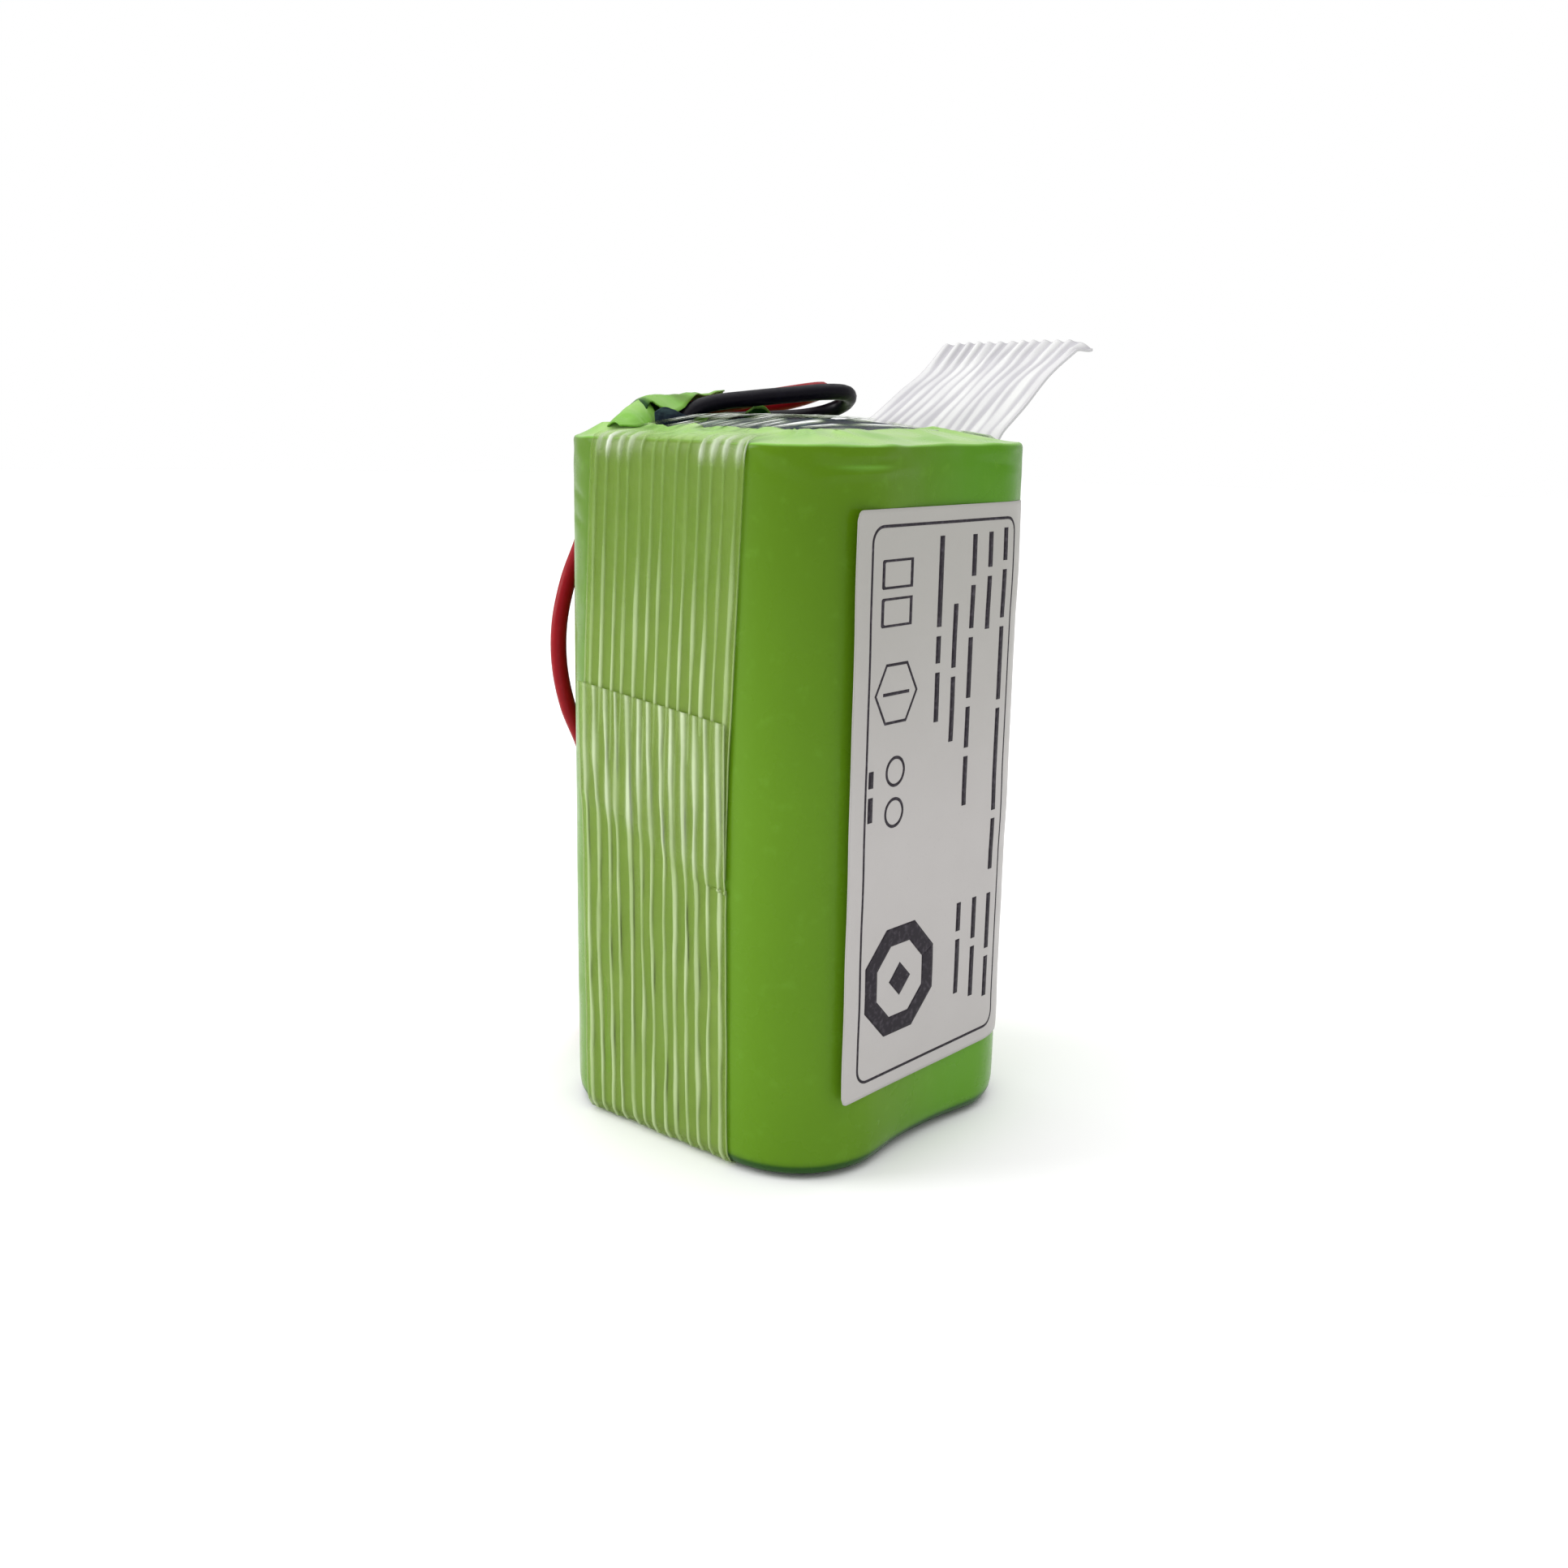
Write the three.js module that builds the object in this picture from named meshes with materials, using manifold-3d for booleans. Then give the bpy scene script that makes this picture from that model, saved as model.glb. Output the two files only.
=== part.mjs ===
// A four-cell lithium-ion battery pack in green shrink film, with a label on one face, a strip of
// filament tape whose doubled stretch is a pull tab, and two leads to a two-way connector.
// Millimetres, +Z up. The origin is the middle of the underside, where the tape meets the ground.
// The tape strip runs round the pack in the XZ plane: its ends overlap on the -X face, and the
// pull tab stands out from the top edge of the +X face. The label is on the -Y face. The leads
// come out at the top and run down the +Y face to the connector, which lies on the ground.

import * as THREE from "three";
import { mergeVertices } from "three/addons/utils/BufferGeometryUtils.js";
import Module from "manifold-3d";

const wasm = await Module();
wasm.setup();

// ---------------------------------------------------------------- driving dimensions

const CELL_RADIUS = 9.15; // an 18650 cell with its wrap
const CELL_LENGTH = 65;
const CELL_PITCH = 18.5;
const CAN_WALL = 0.25;
const CELL_SEGMENTS = 20;
const CAP_SEGMENTS = 16;
const PACK_HEIGHT = 70; // to the top edge of the film
const FILM_WALL = 0.3;
const TAPE_THICKNESS = 0.2;
const TAPE_WIDTH = 20;
const PAPER = 0.3; // insulating paper
const NICKEL = 0.15;
const LABEL_THICKNESS = 0.12;
const LEAD_DIAMETER = 1.7;
const BOARD_THICKNESS = 1;
const GAP = 0.05; // between flat pieces that rest on each other

// ---------------------------------------------------------------- derived places

const CELL_OFFSET = CELL_PITCH / 2;
const HALF = CELL_OFFSET + CELL_RADIUS + GAP + FILM_WALL;
const FILM_BASE = TAPE_THICKNESS + GAP;
const BOTTOM_PAPER_Z = FILM_BASE + FILM_WALL + GAP;
const BOTTOM_NICKEL_Z = BOTTOM_PAPER_Z + PAPER + GAP;
const CELL_BASE_Z = BOTTOM_NICKEL_Z + NICKEL + GAP;
const TOP_NICKEL_Z = CELL_BASE_Z + CELL_LENGTH + GAP;
const TOP_PAPER_Z = TOP_NICKEL_Z + NICKEL + GAP;
const BOARD_Z = TOP_PAPER_Z + PAPER + 2 * GAP;
const BOARD_TOP_Z = BOARD_Z + BOARD_THICKNESS;
const COMPONENT_Z = BOARD_TOP_Z + GAP;

// The film's outer surface, from the rim of the bottom opening to the rim of the top one. Each
// point is the half width of a rounded square and its height.
const FILM_SURFACE = [
  [12, FILM_BASE],
  [HALF - 0.55, FILM_BASE],
  [HALF - 0.15, FILM_BASE + 0.2],
  [HALF, FILM_BASE + 0.65],
  [HALF, PACK_HEIGHT - 0.9],
  [HALF - 0.13, PACK_HEIGHT - 0.3],
  [HALF - 0.5, PACK_HEIGHT],
  [9.5, PACK_HEIGHT + 1.2],
];

// The insulating cover's outer surface: it fills the film's top and domes over the board.
const COVER_SURFACE = [
  [18.35, 68.6],
  [18.3, 69.2],
  [17.9, 69.65],
  [9.5, 70.8],
  [4.5, 71.9],
  [2, 72.05],
];

// Where the film's rim is torn up over the leads, and the hole in the cover under it.
const TEAR = { low: [-15.5, 8.8, 69], high: [0.4, 14.6, 73] };
const COVER_HOLE = { low: [-10.4, 9.2, 68], high: [-2.6, 13.6, 73] };

// The leads' centre lines, from the board's solder joints to the connector.
const BLACK_ROUTE = [
  [-6.3, 10.6, 69.0], [-6.3, 10.7, 70.1], [-5.8, 10.9, 71.4], [-4.2, 11.0, 72.5],
  [-1.6, 10.6, 73.25], [2.2, 8.9, 73.8], [6.0, 6.2, 74.3], [9.2, 4.3, 74.65], [11.8, 3.8, 74.6],
  [13.9, 4.9, 74.1], [15.1, 6.8, 73.3], [14.7, 8.9, 72.5], [12.9, 10.6, 72.0], [10.4, 11.8, 71.8],
  [7.4, 13.1, 71.65], [4.5, 14.8, 71.5], [1.8, 16.9, 71.45], [-0.7, 19.0, 70.9],
  [-2.7, 20.4, 69.2], [-4.2, 20.9, 66.6], [-5.4, 21.0, 63.8], [-7.5, 20.9, 58.6],
  [-9.3, 20.9, 53.0], [-9.8, 20.8, 47.5], [-9.2, 20.8, 42.0], [-7.6, 20.9, 35.5],
  [-5.7, 21.1, 28.0], [-4.7, 21.6, 19.0], [-4.1, 22.6, 10.5], [-3.0, 24.4, 4.6], [-0.8, 26.1, 1.7],
  [2.4, 26.9, 1.6], [5.6, 27.0, 2.6], [8.3, 27.0, 2.8],
];
const RED_ROUTE = [
  [-8.6, 10.6, 69.0], [-8.6, 10.7, 70.1], [-8.0, 11.5, 71.4], [-4.8, 13.2, 72.3],
  [0.2, 12.6, 72.95], [4.2, 10.3, 73.7], [7.6, 8.3, 74.35], [10.6, 7.3, 74.8], [13.3, 8.1, 74.9],
  [14.8, 10.3, 74.5], [14.3, 12.6, 73.8], [12.2, 14.3, 73.2], [9.0, 15.8, 72.85],
  [6.0, 17.3, 72.7], [3.0, 19.0, 72.5], [0.0, 20.7, 71.9], [-3.0, 21.9, 70.3], [-5.4, 22.4, 67.6],
  [-7.6, 22.5, 63.2], [-9.9, 21.4, 59.0], [-12.4, 20.9, 55.0], [-13.8, 20.8, 50.6],
  [-13.9, 20.8, 46.2], [-12.8, 20.8, 41.6], [-10.6, 20.8, 37.0], [-8.4, 20.9, 30.6],
  [-7.1, 21.3, 22.4], [-6.5, 22.4, 13.5], [-5.4, 25.0, 6.0], [-2.8, 28.5, 2.0], [0.6, 30.7, 1.3],
  [3.8, 31.2, 2.2], [6.0, 31.2, 2.7], [8.3, 31.2, 2.8],
];
const LEAD_STEPS = 72;
const LEAD_SIDES = 8;

// The connector: its rear face, the middle between its two ways, and its body.
const CONNECTOR = {
  rearX: 6.3,
  bodyLength: 9,
  siloLength: 7,
  centreY: 29.1,
  pitch: 4.2,
  width: 9.6,
  height: 5.6,
  wayZ: 2.8,
  siloSize: 3.6,
  siloHeight: 4.4,
  boreSize: 2.4,
};

// The pull tab's two long edges, as x and z, from the fold to the tip.
const TAB_FRONT_EDGE = [
  [19.7, 70.3], [21.6, 72.6], [23.9, 75.1], [27.0, 77.1], [30.5, 78.8], [35.3, 81.2],
];
const TAB_BACK_EDGE = [
  [19.75, 70.2], [22.6, 72.2], [27.6, 74.8], [32.4, 77.1], [34.6, 78.8], [36.8, 80.7],
];
const TAB_CENTRE_Y = -1.2;
const TAB_THICKNESS = 2 * TAPE_THICKNESS;

// ---------------------------------------------------------------- materials

const material = (color, roughness, metalness = 0) =>
  new THREE.MeshStandardMaterial({ color, roughness, metalness });

const FILM = material(0x5d9a2a, 0.35);
const CLEAR_TAPE = material(0xc8d3b4, 0.3);
const TAB_TAPE = material(0xe4e4e2, 0.4);
const LABEL = material(0xb9b7b2, 0.4);
const DARK_PAPER = material(0x1f2b2d, 0.7);
const GREY_PAPER = material(0x9aa39a, 0.85);
const CAN_STEEL = material(0xb7b9bb, 0.3, 1);
const CAP_STEEL = material(0xc9cbcd, 0.25, 1);
const ELECTRODES = material(0x3c3a3a, 0.6);
const NICKEL_STRIP = material(0xc4c2ba, 0.3, 1);
const WRAP = material(0x2f6f9c, 0.4);
const RING_PAPER = material(0xe6e2d6, 0.8);
const BOARD = material(0x1d5a34, 0.5);
const CHIP = material(0x1b1b1d, 0.5);
const SHUNT = material(0x8d8f92, 0.4, 1);
const SOLDER = material(0xbfc1c4, 0.25, 1);
const BLACK_LEAD = material(0x17161c, 0.35);
const RED_LEAD = material(0xa81c26, 0.35);
const NYLON = material(0xe9e6da, 0.5);
const TINNED = material(0xc9b98a, 0.3, 1);

// ---------------------------------------------------------------- geometry helpers

// A closed solid from points and triangles, turned to face outwards.
function closedSolid(points, triangles) {
  const a = new THREE.Vector3();
  let volume = 0;
  for (const [i, j, k] of triangles) {
    volume += points[i].dot(a.crossVectors(points[j], points[k]));
  }
  const index = triangles.flatMap(([i, j, k]) => (volume < 0 ? [i, k, j] : [i, j, k]));
  const geometry = new THREE.BufferGeometry().setFromPoints(points);
  geometry.setIndex(index);
  geometry.computeVertexNormals();
  return geometry;
}

// The same geometry with only its positions, shared between the triangles that meet there.
function merged(geometry) {
  const plain = geometry.clone();
  plain.deleteAttribute("normal");
  plain.deleteAttribute("uv");
  return mergeVertices(plain, 1e-4);
}

// A three.js geometry as a closed solid that faces outwards.
function outward(geometry) {
  const plain = merged(geometry);
  const position = plain.attributes.position;
  const points = [];
  for (let i = 0; i < position.count; i++) {
    points.push(new THREE.Vector3().fromBufferAttribute(position, i));
  }
  const triangles = [];
  for (let i = 0; i < plain.index.count; i += 3) {
    triangles.push(Array.from(plain.index.array.slice(i, i + 3)));
  }
  return closedSolid(points, triangles);
}

// A rounded square as a ring of points, its corners centred on the cells where there is room.
function roundedSquare(half, z, cornerSteps) {
  const radius = Math.min(Math.max(half - CELL_OFFSET, 3), half);
  const centre = half - radius;
  const ring = [];
  for (let corner = 0; corner < 4; corner++) {
    const middle = Math.PI / 4 + (corner * Math.PI) / 2;
    const cx = Math.sign(Math.cos(middle)) * centre;
    const cy = Math.sign(Math.sin(middle)) * centre;
    for (let step = 0; step <= cornerSteps; step++) {
      const angle = ((corner + step / cornerSteps) * Math.PI) / 2;
      const x = cx + radius * Math.cos(angle);
      const y = cy + radius * Math.sin(angle);
      ring.push(new THREE.Vector3(x, y, z));
    }
  }
  return ring;
}

// The triangles between two rows of points, which share their count.
function bridge(lower, upper, count, closed) {
  const triangles = [];
  const last = closed ? count : count - 1;
  for (let i = 0; i < last; i++) {
    const next = (i + 1) % count;
    triangles.push([lower + i, lower + next, upper + next], [lower + i, upper + next, upper + i]);
  }
  return triangles;
}

// A closed solid whose surface runs over the rings in turn. With caps its first and last rings
// are filled, and without them the last ring joins the first.
function skin(rings, capped) {
  const count = rings[0].length;
  const points = rings.flat();
  const triangles = [];
  for (let i = 1; i < rings.length; i++) {
    triangles.push(...bridge((i - 1) * count, i * count, count, true));
  }
  if (!capped) {
    triangles.push(...bridge((rings.length - 1) * count, 0, count, true));
    return closedSolid(points, triangles);
  }
  const lastRing = (rings.length - 1) * count;
  for (let i = 1; i < count - 1; i++) {
    triangles.push([0, i + 1, i], [lastRing, lastRing + i, lastRing + i + 1]);
  }
  return closedSolid(points, triangles);
}

// A path of [u, v] points moved to its left by a distance.
function offsetPath(path, distance) {
  const normalOf = (a, b) => {
    const length = Math.hypot(b[0] - a[0], b[1] - a[1]);
    return [-(b[1] - a[1]) / length, (b[0] - a[0]) / length];
  };
  return path.map((point, i) => {
    const before = normalOf(path[Math.max(i - 1, 0)], path[Math.max(i, 1)]);
    const atEnd = i === path.length - 1;
    const after = atEnd ? before : normalOf(point, path[i + 1]);
    const scale = distance / (1 + before[0] * after[0] + before[1] * after[1]);
    return [point[0] + (before[0] + after[0]) * scale, point[1] + (before[1] + after[1]) * scale];
  });
}

// A sheet of a thickness whose middle surface is a grid of points, row by row.
function sheet(grid, thickness) {
  const rows = grid.length;
  const columns = grid[0].length;
  const front = [];
  const back = [];
  for (let i = 0; i < rows; i++) {
    for (let j = 0; j < columns; j++) {
      const along = grid[Math.min(i + 1, rows - 1)][j].clone();
      along.sub(grid[Math.max(i - 1, 0)][j]);
      const across = grid[i][Math.min(j + 1, columns - 1)].clone();
      across.sub(grid[i][Math.max(j - 1, 0)]);
      const normal = along.cross(across).setLength(thickness / 2);
      front.push(grid[i][j].clone().add(normal));
      back.push(grid[i][j].clone().sub(normal));
    }
  }
  const size = rows * columns;
  const at = (i, j) => i * columns + j;
  const triangles = [];
  for (let i = 0; i < rows - 1; i++) {
    for (let j = 0; j < columns - 1; j++) {
      const [a, b, c, d] = [at(i, j), at(i, j + 1), at(i + 1, j + 1), at(i + 1, j)];
      triangles.push([a, b, c], [a, c, d]);
      triangles.push([size + a, size + c, size + b], [size + a, size + d, size + c]);
    }
  }
  const border = [];
  for (let j = 0; j < columns - 1; j++) border.push(at(0, j));
  for (let i = 0; i < rows - 1; i++) border.push(at(i, columns - 1));
  for (let j = columns - 1; j > 0; j--) border.push(at(rows - 1, j));
  for (let i = rows - 1; i > 0; i--) border.push(at(i, 0));
  border.forEach((a, i) => {
    const b = border[(i + 1) % border.length];
    triangles.push([b, a, size + a], [b, size + a, size + b]);
  });
  return closedSolid([...front, ...back], triangles);
}

// A box between two corners.
function box(low, high) {
  const size = high.map((value, i) => value - low[i]);
  const geometry = new THREE.BoxGeometry(...size);
  return geometry.translate(...high.map((value, i) => (value + low[i]) / 2));
}

// A flat plate of a thickness on a height, from its outline.
function plate(outline, z, thickness) {
  const shape = new THREE.Shape(outline.map(([x, y]) => new THREE.Vector2(x, y)));
  const geometry = new THREE.ExtrudeGeometry(shape, { depth: thickness, bevelEnabled: false });
  return geometry.translate(0, 0, z);
}

// A solid turned about the Z axis, from its profile of [radius, height] points.
function turned(profile, segments) {
  const points = profile.map(([radius, height]) => new THREE.Vector2(radius, height));
  return outward(new THREE.LatheGeometry(points, segments).rotateX(Math.PI / 2));
}

function toManifold(geometry) {
  const plain = merged(geometry);
  const vertProperties = plain.attributes.position.array;
  const triVerts = new Uint32Array(plain.index.array);
  return new wasm.Manifold(new wasm.Mesh({ numProp: 3, vertProperties, triVerts }));
}

function fromManifold(manifold) {
  const mesh = manifold.getMesh();
  const geometry = new THREE.BufferGeometry();
  const positions = new THREE.Float32BufferAttribute(mesh.vertProperties, 3);
  geometry.setAttribute("position", positions);
  geometry.setIndex(Array.from(mesh.triVerts));
  geometry.computeVertexNormals();
  return geometry;
}

function cut(geometry, ...tools) {
  const solids = tools.map(toManifold);
  return fromManifold(solids.reduce((left, tool) => left.subtract(tool), toManifold(geometry)));
}

function join(...geometries) {
  return fromManifold(geometries.map(toManifold).reduce((sum, solid) => sum.add(solid)));
}

// ---------------------------------------------------------------- the scene

const pack = new THREE.Group();
pack.name = "battery_pack";

function add(name, geometry, partMaterial, parent = pack) {
  const mesh = new THREE.Mesh(geometry, partMaterial);
  mesh.name = name;
  parent.add(mesh);
  return mesh;
}

// One cell, standing on its base: the thin can with its crimped groove and lip, the wound
// electrodes inside it, the raised positive cap, the wrap round the can and the paper ring round
// the cap. A cell that is upside down has its positive cap at the bottom.
function addCell(number, x, y, upsideDown) {
  const cell = new THREE.Group();
  cell.position.set(x, y, CELL_BASE_Z + CELL_LENGTH / 2);
  cell.rotation.x = upsideDown ? Math.PI : 0;
  pack.add(cell);

  const base = -CELL_LENGTH / 2;
  const can = CELL_RADIUS - 0.17;
  const bore = can - CAN_WALL;
  const raised = (profile) => profile.map(([radius, height]) => [radius, height + base]);
  const canProfile = raised([
    [0, 0], [can - 0.7, 0], [can, 0.5], [can, 60.8], [can - 0.45, 61.4], [can - 0.45, 62],
    [can, 62.6], [can, 63.9], [can - 0.45, 64.3], [can - 1.1, 64.3],
    [can - 1.1, 64.05], [can - 0.55, 64.05], [bore, 63.8], [bore, 62.7], [bore - 0.45, 62.1],
    [bore - 0.45, 61.3], [bore, 60.7], [bore, 0.55], [bore - 0.55, CAN_WALL], [0, CAN_WALL],
  ]);
  const rollProfile = raised([[0, 0.6], [bore - 0.2, 0.6], [bore - 0.2, 60.2], [0, 60.2]]);
  const capProfile = raised([
    [0, 62.9], [8.2, 62.9], [8.2, 63.9], [4.6, 63.9], [4.2, CELL_LENGTH], [0, CELL_LENGTH],
  ]);
  const wrapProfile = raised([
    [CELL_RADIUS, 0.3], [CELL_RADIUS, 64.4], [CELL_RADIUS - 0.1, 64.5], [7.8, 64.5],
    [7.8, 64.36], [CELL_RADIUS - 0.12, 64.36], [CELL_RADIUS - 0.12, 0.3], [CELL_RADIUS, 0.3],
  ]);
  const ringProfile = raised([[4.7, 64.55], [8.3, 64.55], [8.3, 64.75], [4.7, 64.75], [4.7, 64.55]]);
  add(`cell_${number}_can`, turned(canProfile, CELL_SEGMENTS), CAN_STEEL, cell);
  add(`cell_${number}_electrode_roll`, turned(rollProfile, CELL_SEGMENTS), ELECTRODES, cell);
  add(`cell_${number}_cap`, turned(capProfile, CAP_SEGMENTS), CAP_STEEL, cell);
  add(`cell_${number}_wrap`, turned(wrapProfile, CELL_SEGMENTS), WRAP, cell);
  add(`cell_${number}_ring`, turned(ringProfile, CAP_SEGMENTS), RING_PAPER, cell);
}

// The cells stand two by two and alternate, so that strips link them in series.
function addCells() {
  addCell(1, -CELL_OFFSET, -CELL_OFFSET, true);
  addCell(2, CELL_OFFSET, -CELL_OFFSET, false);
  addCell(3, CELL_OFFSET, CELL_OFFSET, true);
  addCell(4, -CELL_OFFSET, CELL_OFFSET, false);
}

// The nickel strips. Those at the bottom have a tongue to a sense wire, and those at the top have
// an end that stands up beside the board.
function addNickel() {
  const reach = 13; // how far a strip runs from the pack's middle
  const inner = CELL_OFFSET - 3.75;
  const tongue = 2;
  for (const [name, side] of [["nickel_bottom_low", -1], ["nickel_bottom_high", 1]]) {
    const outline = [
      [-reach, side * reach], [-reach, side * inner], [-tongue, side * inner],
      [-tongue, side * 0.5], [tongue, side * 0.5], [tongue, side * inner],
      [reach, side * inner], [reach, side * reach],
    ];
    add(name, outward(plate(outline, BOTTOM_NICKEL_Z, NICKEL)), NICKEL_STRIP);
  }
  const edge = 16.4;
  const standTop = BOARD_TOP_Z + 0.4;
  for (const [name, side] of [["nickel_top_minus", -1], ["nickel_top_plus", 1]]) {
    const flat = box(
      [-reach, side < 0 ? -edge : inner, TOP_NICKEL_Z],
      [-inner, side < 0 ? -inner : edge, TOP_NICKEL_Z + NICKEL],
    );
    const stand = box(
      [-reach, side < 0 ? -edge : edge - NICKEL, TOP_NICKEL_Z],
      [-inner, side < 0 ? -edge + NICKEL : edge, standTop],
    );
    add(name, join(flat, stand), NICKEL_STRIP);
  }
  const link = box([inner, -reach, TOP_NICKEL_Z], [reach, reach, TOP_NICKEL_Z + NICKEL]);
  const arm = box([inner, -3, TOP_NICKEL_Z], [edge, 3, TOP_NICKEL_Z + NICKEL]);
  const stand = box([edge - NICKEL, -3, TOP_NICKEL_Z], [edge, 3, standTop]);
  add("nickel_top_link", join(link, arm, stand), NICKEL_STRIP);
}

// The sense wires, which pass between the four cells from the bottom strips to the board.
function addSenseWires() {
  const radius = 0.6;
  const low = BOTTOM_NICKEL_Z + NICKEL + GAP;
  const high = BOARD_Z - GAP;
  for (const [name, y] of [["sense_wire_low", -1.2], ["sense_wire_high", 1.2]]) {
    const wire = new THREE.CylinderGeometry(radius, radius, high - low, LEAD_SIDES);
    const mesh = add(name, wire.rotateX(Math.PI / 2), name.endsWith("low") ? BLACK_LEAD : RED_LEAD);
    mesh.position.set(0, y, (low + high) / 2);
  }
}

// The insulating papers under and over the cells. The upper one has a hole for the sense wires.
function addPapers() {
  const bottom = [0, PAPER].map((rise) => roundedSquare(17.9, BOTTOM_PAPER_Z + rise, 6));
  add("bottom_insulator", skin(bottom, true), GREY_PAPER);
  const top = [0, PAPER].map((rise) => roundedSquare(15.9, TOP_PAPER_Z + rise, 6));
  const hole = new THREE.CylinderGeometry(2.6, 2.6, 2, 16).rotateX(Math.PI / 2);
  hole.translate(0, 0, TOP_PAPER_Z);
  add("top_insulator", cut(skin(top, true), hole), GREY_PAPER);
}

// The protection board with its switches, controller, shunt and the leads' solder joints.
function addBoard() {
  const slab = [BOARD_Z, BOARD_TOP_Z].map((z) => roundedSquare(15.5, z, 6));
  add("protection_board", skin(slab, true), BOARD);
  const chips = [
    ["switch_1", [3.5, -9.5], [6, 5, 1], CHIP],
    ["switch_2", [-4.5, -9.5], [6, 5, 1], CHIP],
    ["controller", [6.5, 1.5], [5, 4.4, 1.1], CHIP],
    ["shunt", [6.5, 9.5], [6.4, 3.2, 0.6], SHUNT],
  ];
  for (const [name, [x, y], [length, width, height], chipMaterial] of chips) {
    const mesh = add(name, new THREE.BoxGeometry(length, width, height), chipMaterial);
    mesh.position.set(x, y, COMPONENT_Z + height / 2);
  }
  const fillet = [[0, 0], [1.25, 0], [1.1, 0.25], [0.7, 0.6], [0, 0.75]];
  for (const [name, route] of [["solder_black", BLACK_ROUTE], ["solder_red", RED_ROUTE]]) {
    const [x, y] = route[0];
    add(name, turned(fillet, 12), SOLDER).position.set(x, y, COMPONENT_Z);
  }
}

// The dark cover over the board: a thin dome, open below, with a hole for the leads.
function addCover() {
  const outer = COVER_SURFACE;
  const inner = offsetPath(outer, PAPER).map(([half, z], i) => [half, i === 0 ? outer[0][1] : z]);
  const rings = [...inner.reverse(), ...outer].map(([half, z]) => roundedSquare(half, z, 8));
  const hole = box(COVER_HOLE.low, COVER_HOLE.high);
  add("board_cover", cut(skin(rings, true), hole), DARK_PAPER);
}

// The shrink film: the walls and the rims folded over both ends, with its tear at the top.
function addFilm() {
  const inner = offsetPath(FILM_SURFACE, FILM_WALL).reverse();
  const rings = [...FILM_SURFACE, ...inner].map(([half, z]) => roundedSquare(half, z, 12));
  add("shrink_film", cut(skin(rings, false), box(TEAR.low, TEAR.high)), FILM);
}

// The lifted film over the leads: it rises from the back of the tear and curls over to a lip,
// which comes down in front of the leads at its left end.
function addFlap() {
  const stations = [
    // x, top y, top z, lip y, lip z
    [-12.8, 12.6, 72.3, 11.4, 71.7],
    [-11.0, 12.6, 73.2, 11.3, 72.5],
    [-9.6, 12.6, 73.8, 11.1, 73.3],
    [-7.5, 12.6, 74.0, 10.4, 72.5],
    [-5.6, 12.7, 74.1, 10.6, 73.1],
    [-3.4, 12.9, 74.2, 11.3, 74.1],
    [-1.6, 13.2, 74.3, 12.5, 74.3],
    [0.4, 13.6, 74.5, 13.1, 74.6],
  ];
  const grid = stations.map(([x, topY, topZ, lipY, lipZ]) => {
    const profile = [
      new THREE.Vector3(x, 15.4, 71.0),
      new THREE.Vector3(x, 14.9, 71.0 + (topZ - 71.0) * 0.55),
      new THREE.Vector3(x, topY, topZ),
      new THREE.Vector3(x, lipY, lipZ),
    ];
    return new THREE.CatmullRomCurve3(profile).getPoints(6);
  });
  add("film_flap", sheet(grid, FILM_WALL), FILM);
}

// The label: it starts near the -X edge of the -Y face and runs a little way round the corner.
function addLabel() {
  const [left, low, high] = [-14.1, 8, 64.4];
  const face = HALF + GAP + LABEL_THICKNESS / 2;
  const radius = face - CELL_OFFSET;
  const path = [[left, -face]];
  for (let step = 0; step <= 4; step++) {
    const angle = (step * 7.5 * Math.PI) / 180;
    path.push([CELL_OFFSET + radius * Math.sin(angle), -CELL_OFFSET - radius * Math.cos(angle)]);
  }
  const grid = path.map(([x, y]) => [low, high].map((z) => new THREE.Vector3(x, y, z)));
  add("label", sheet(grid, LABEL_THICKNESS), LABEL);
}

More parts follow.
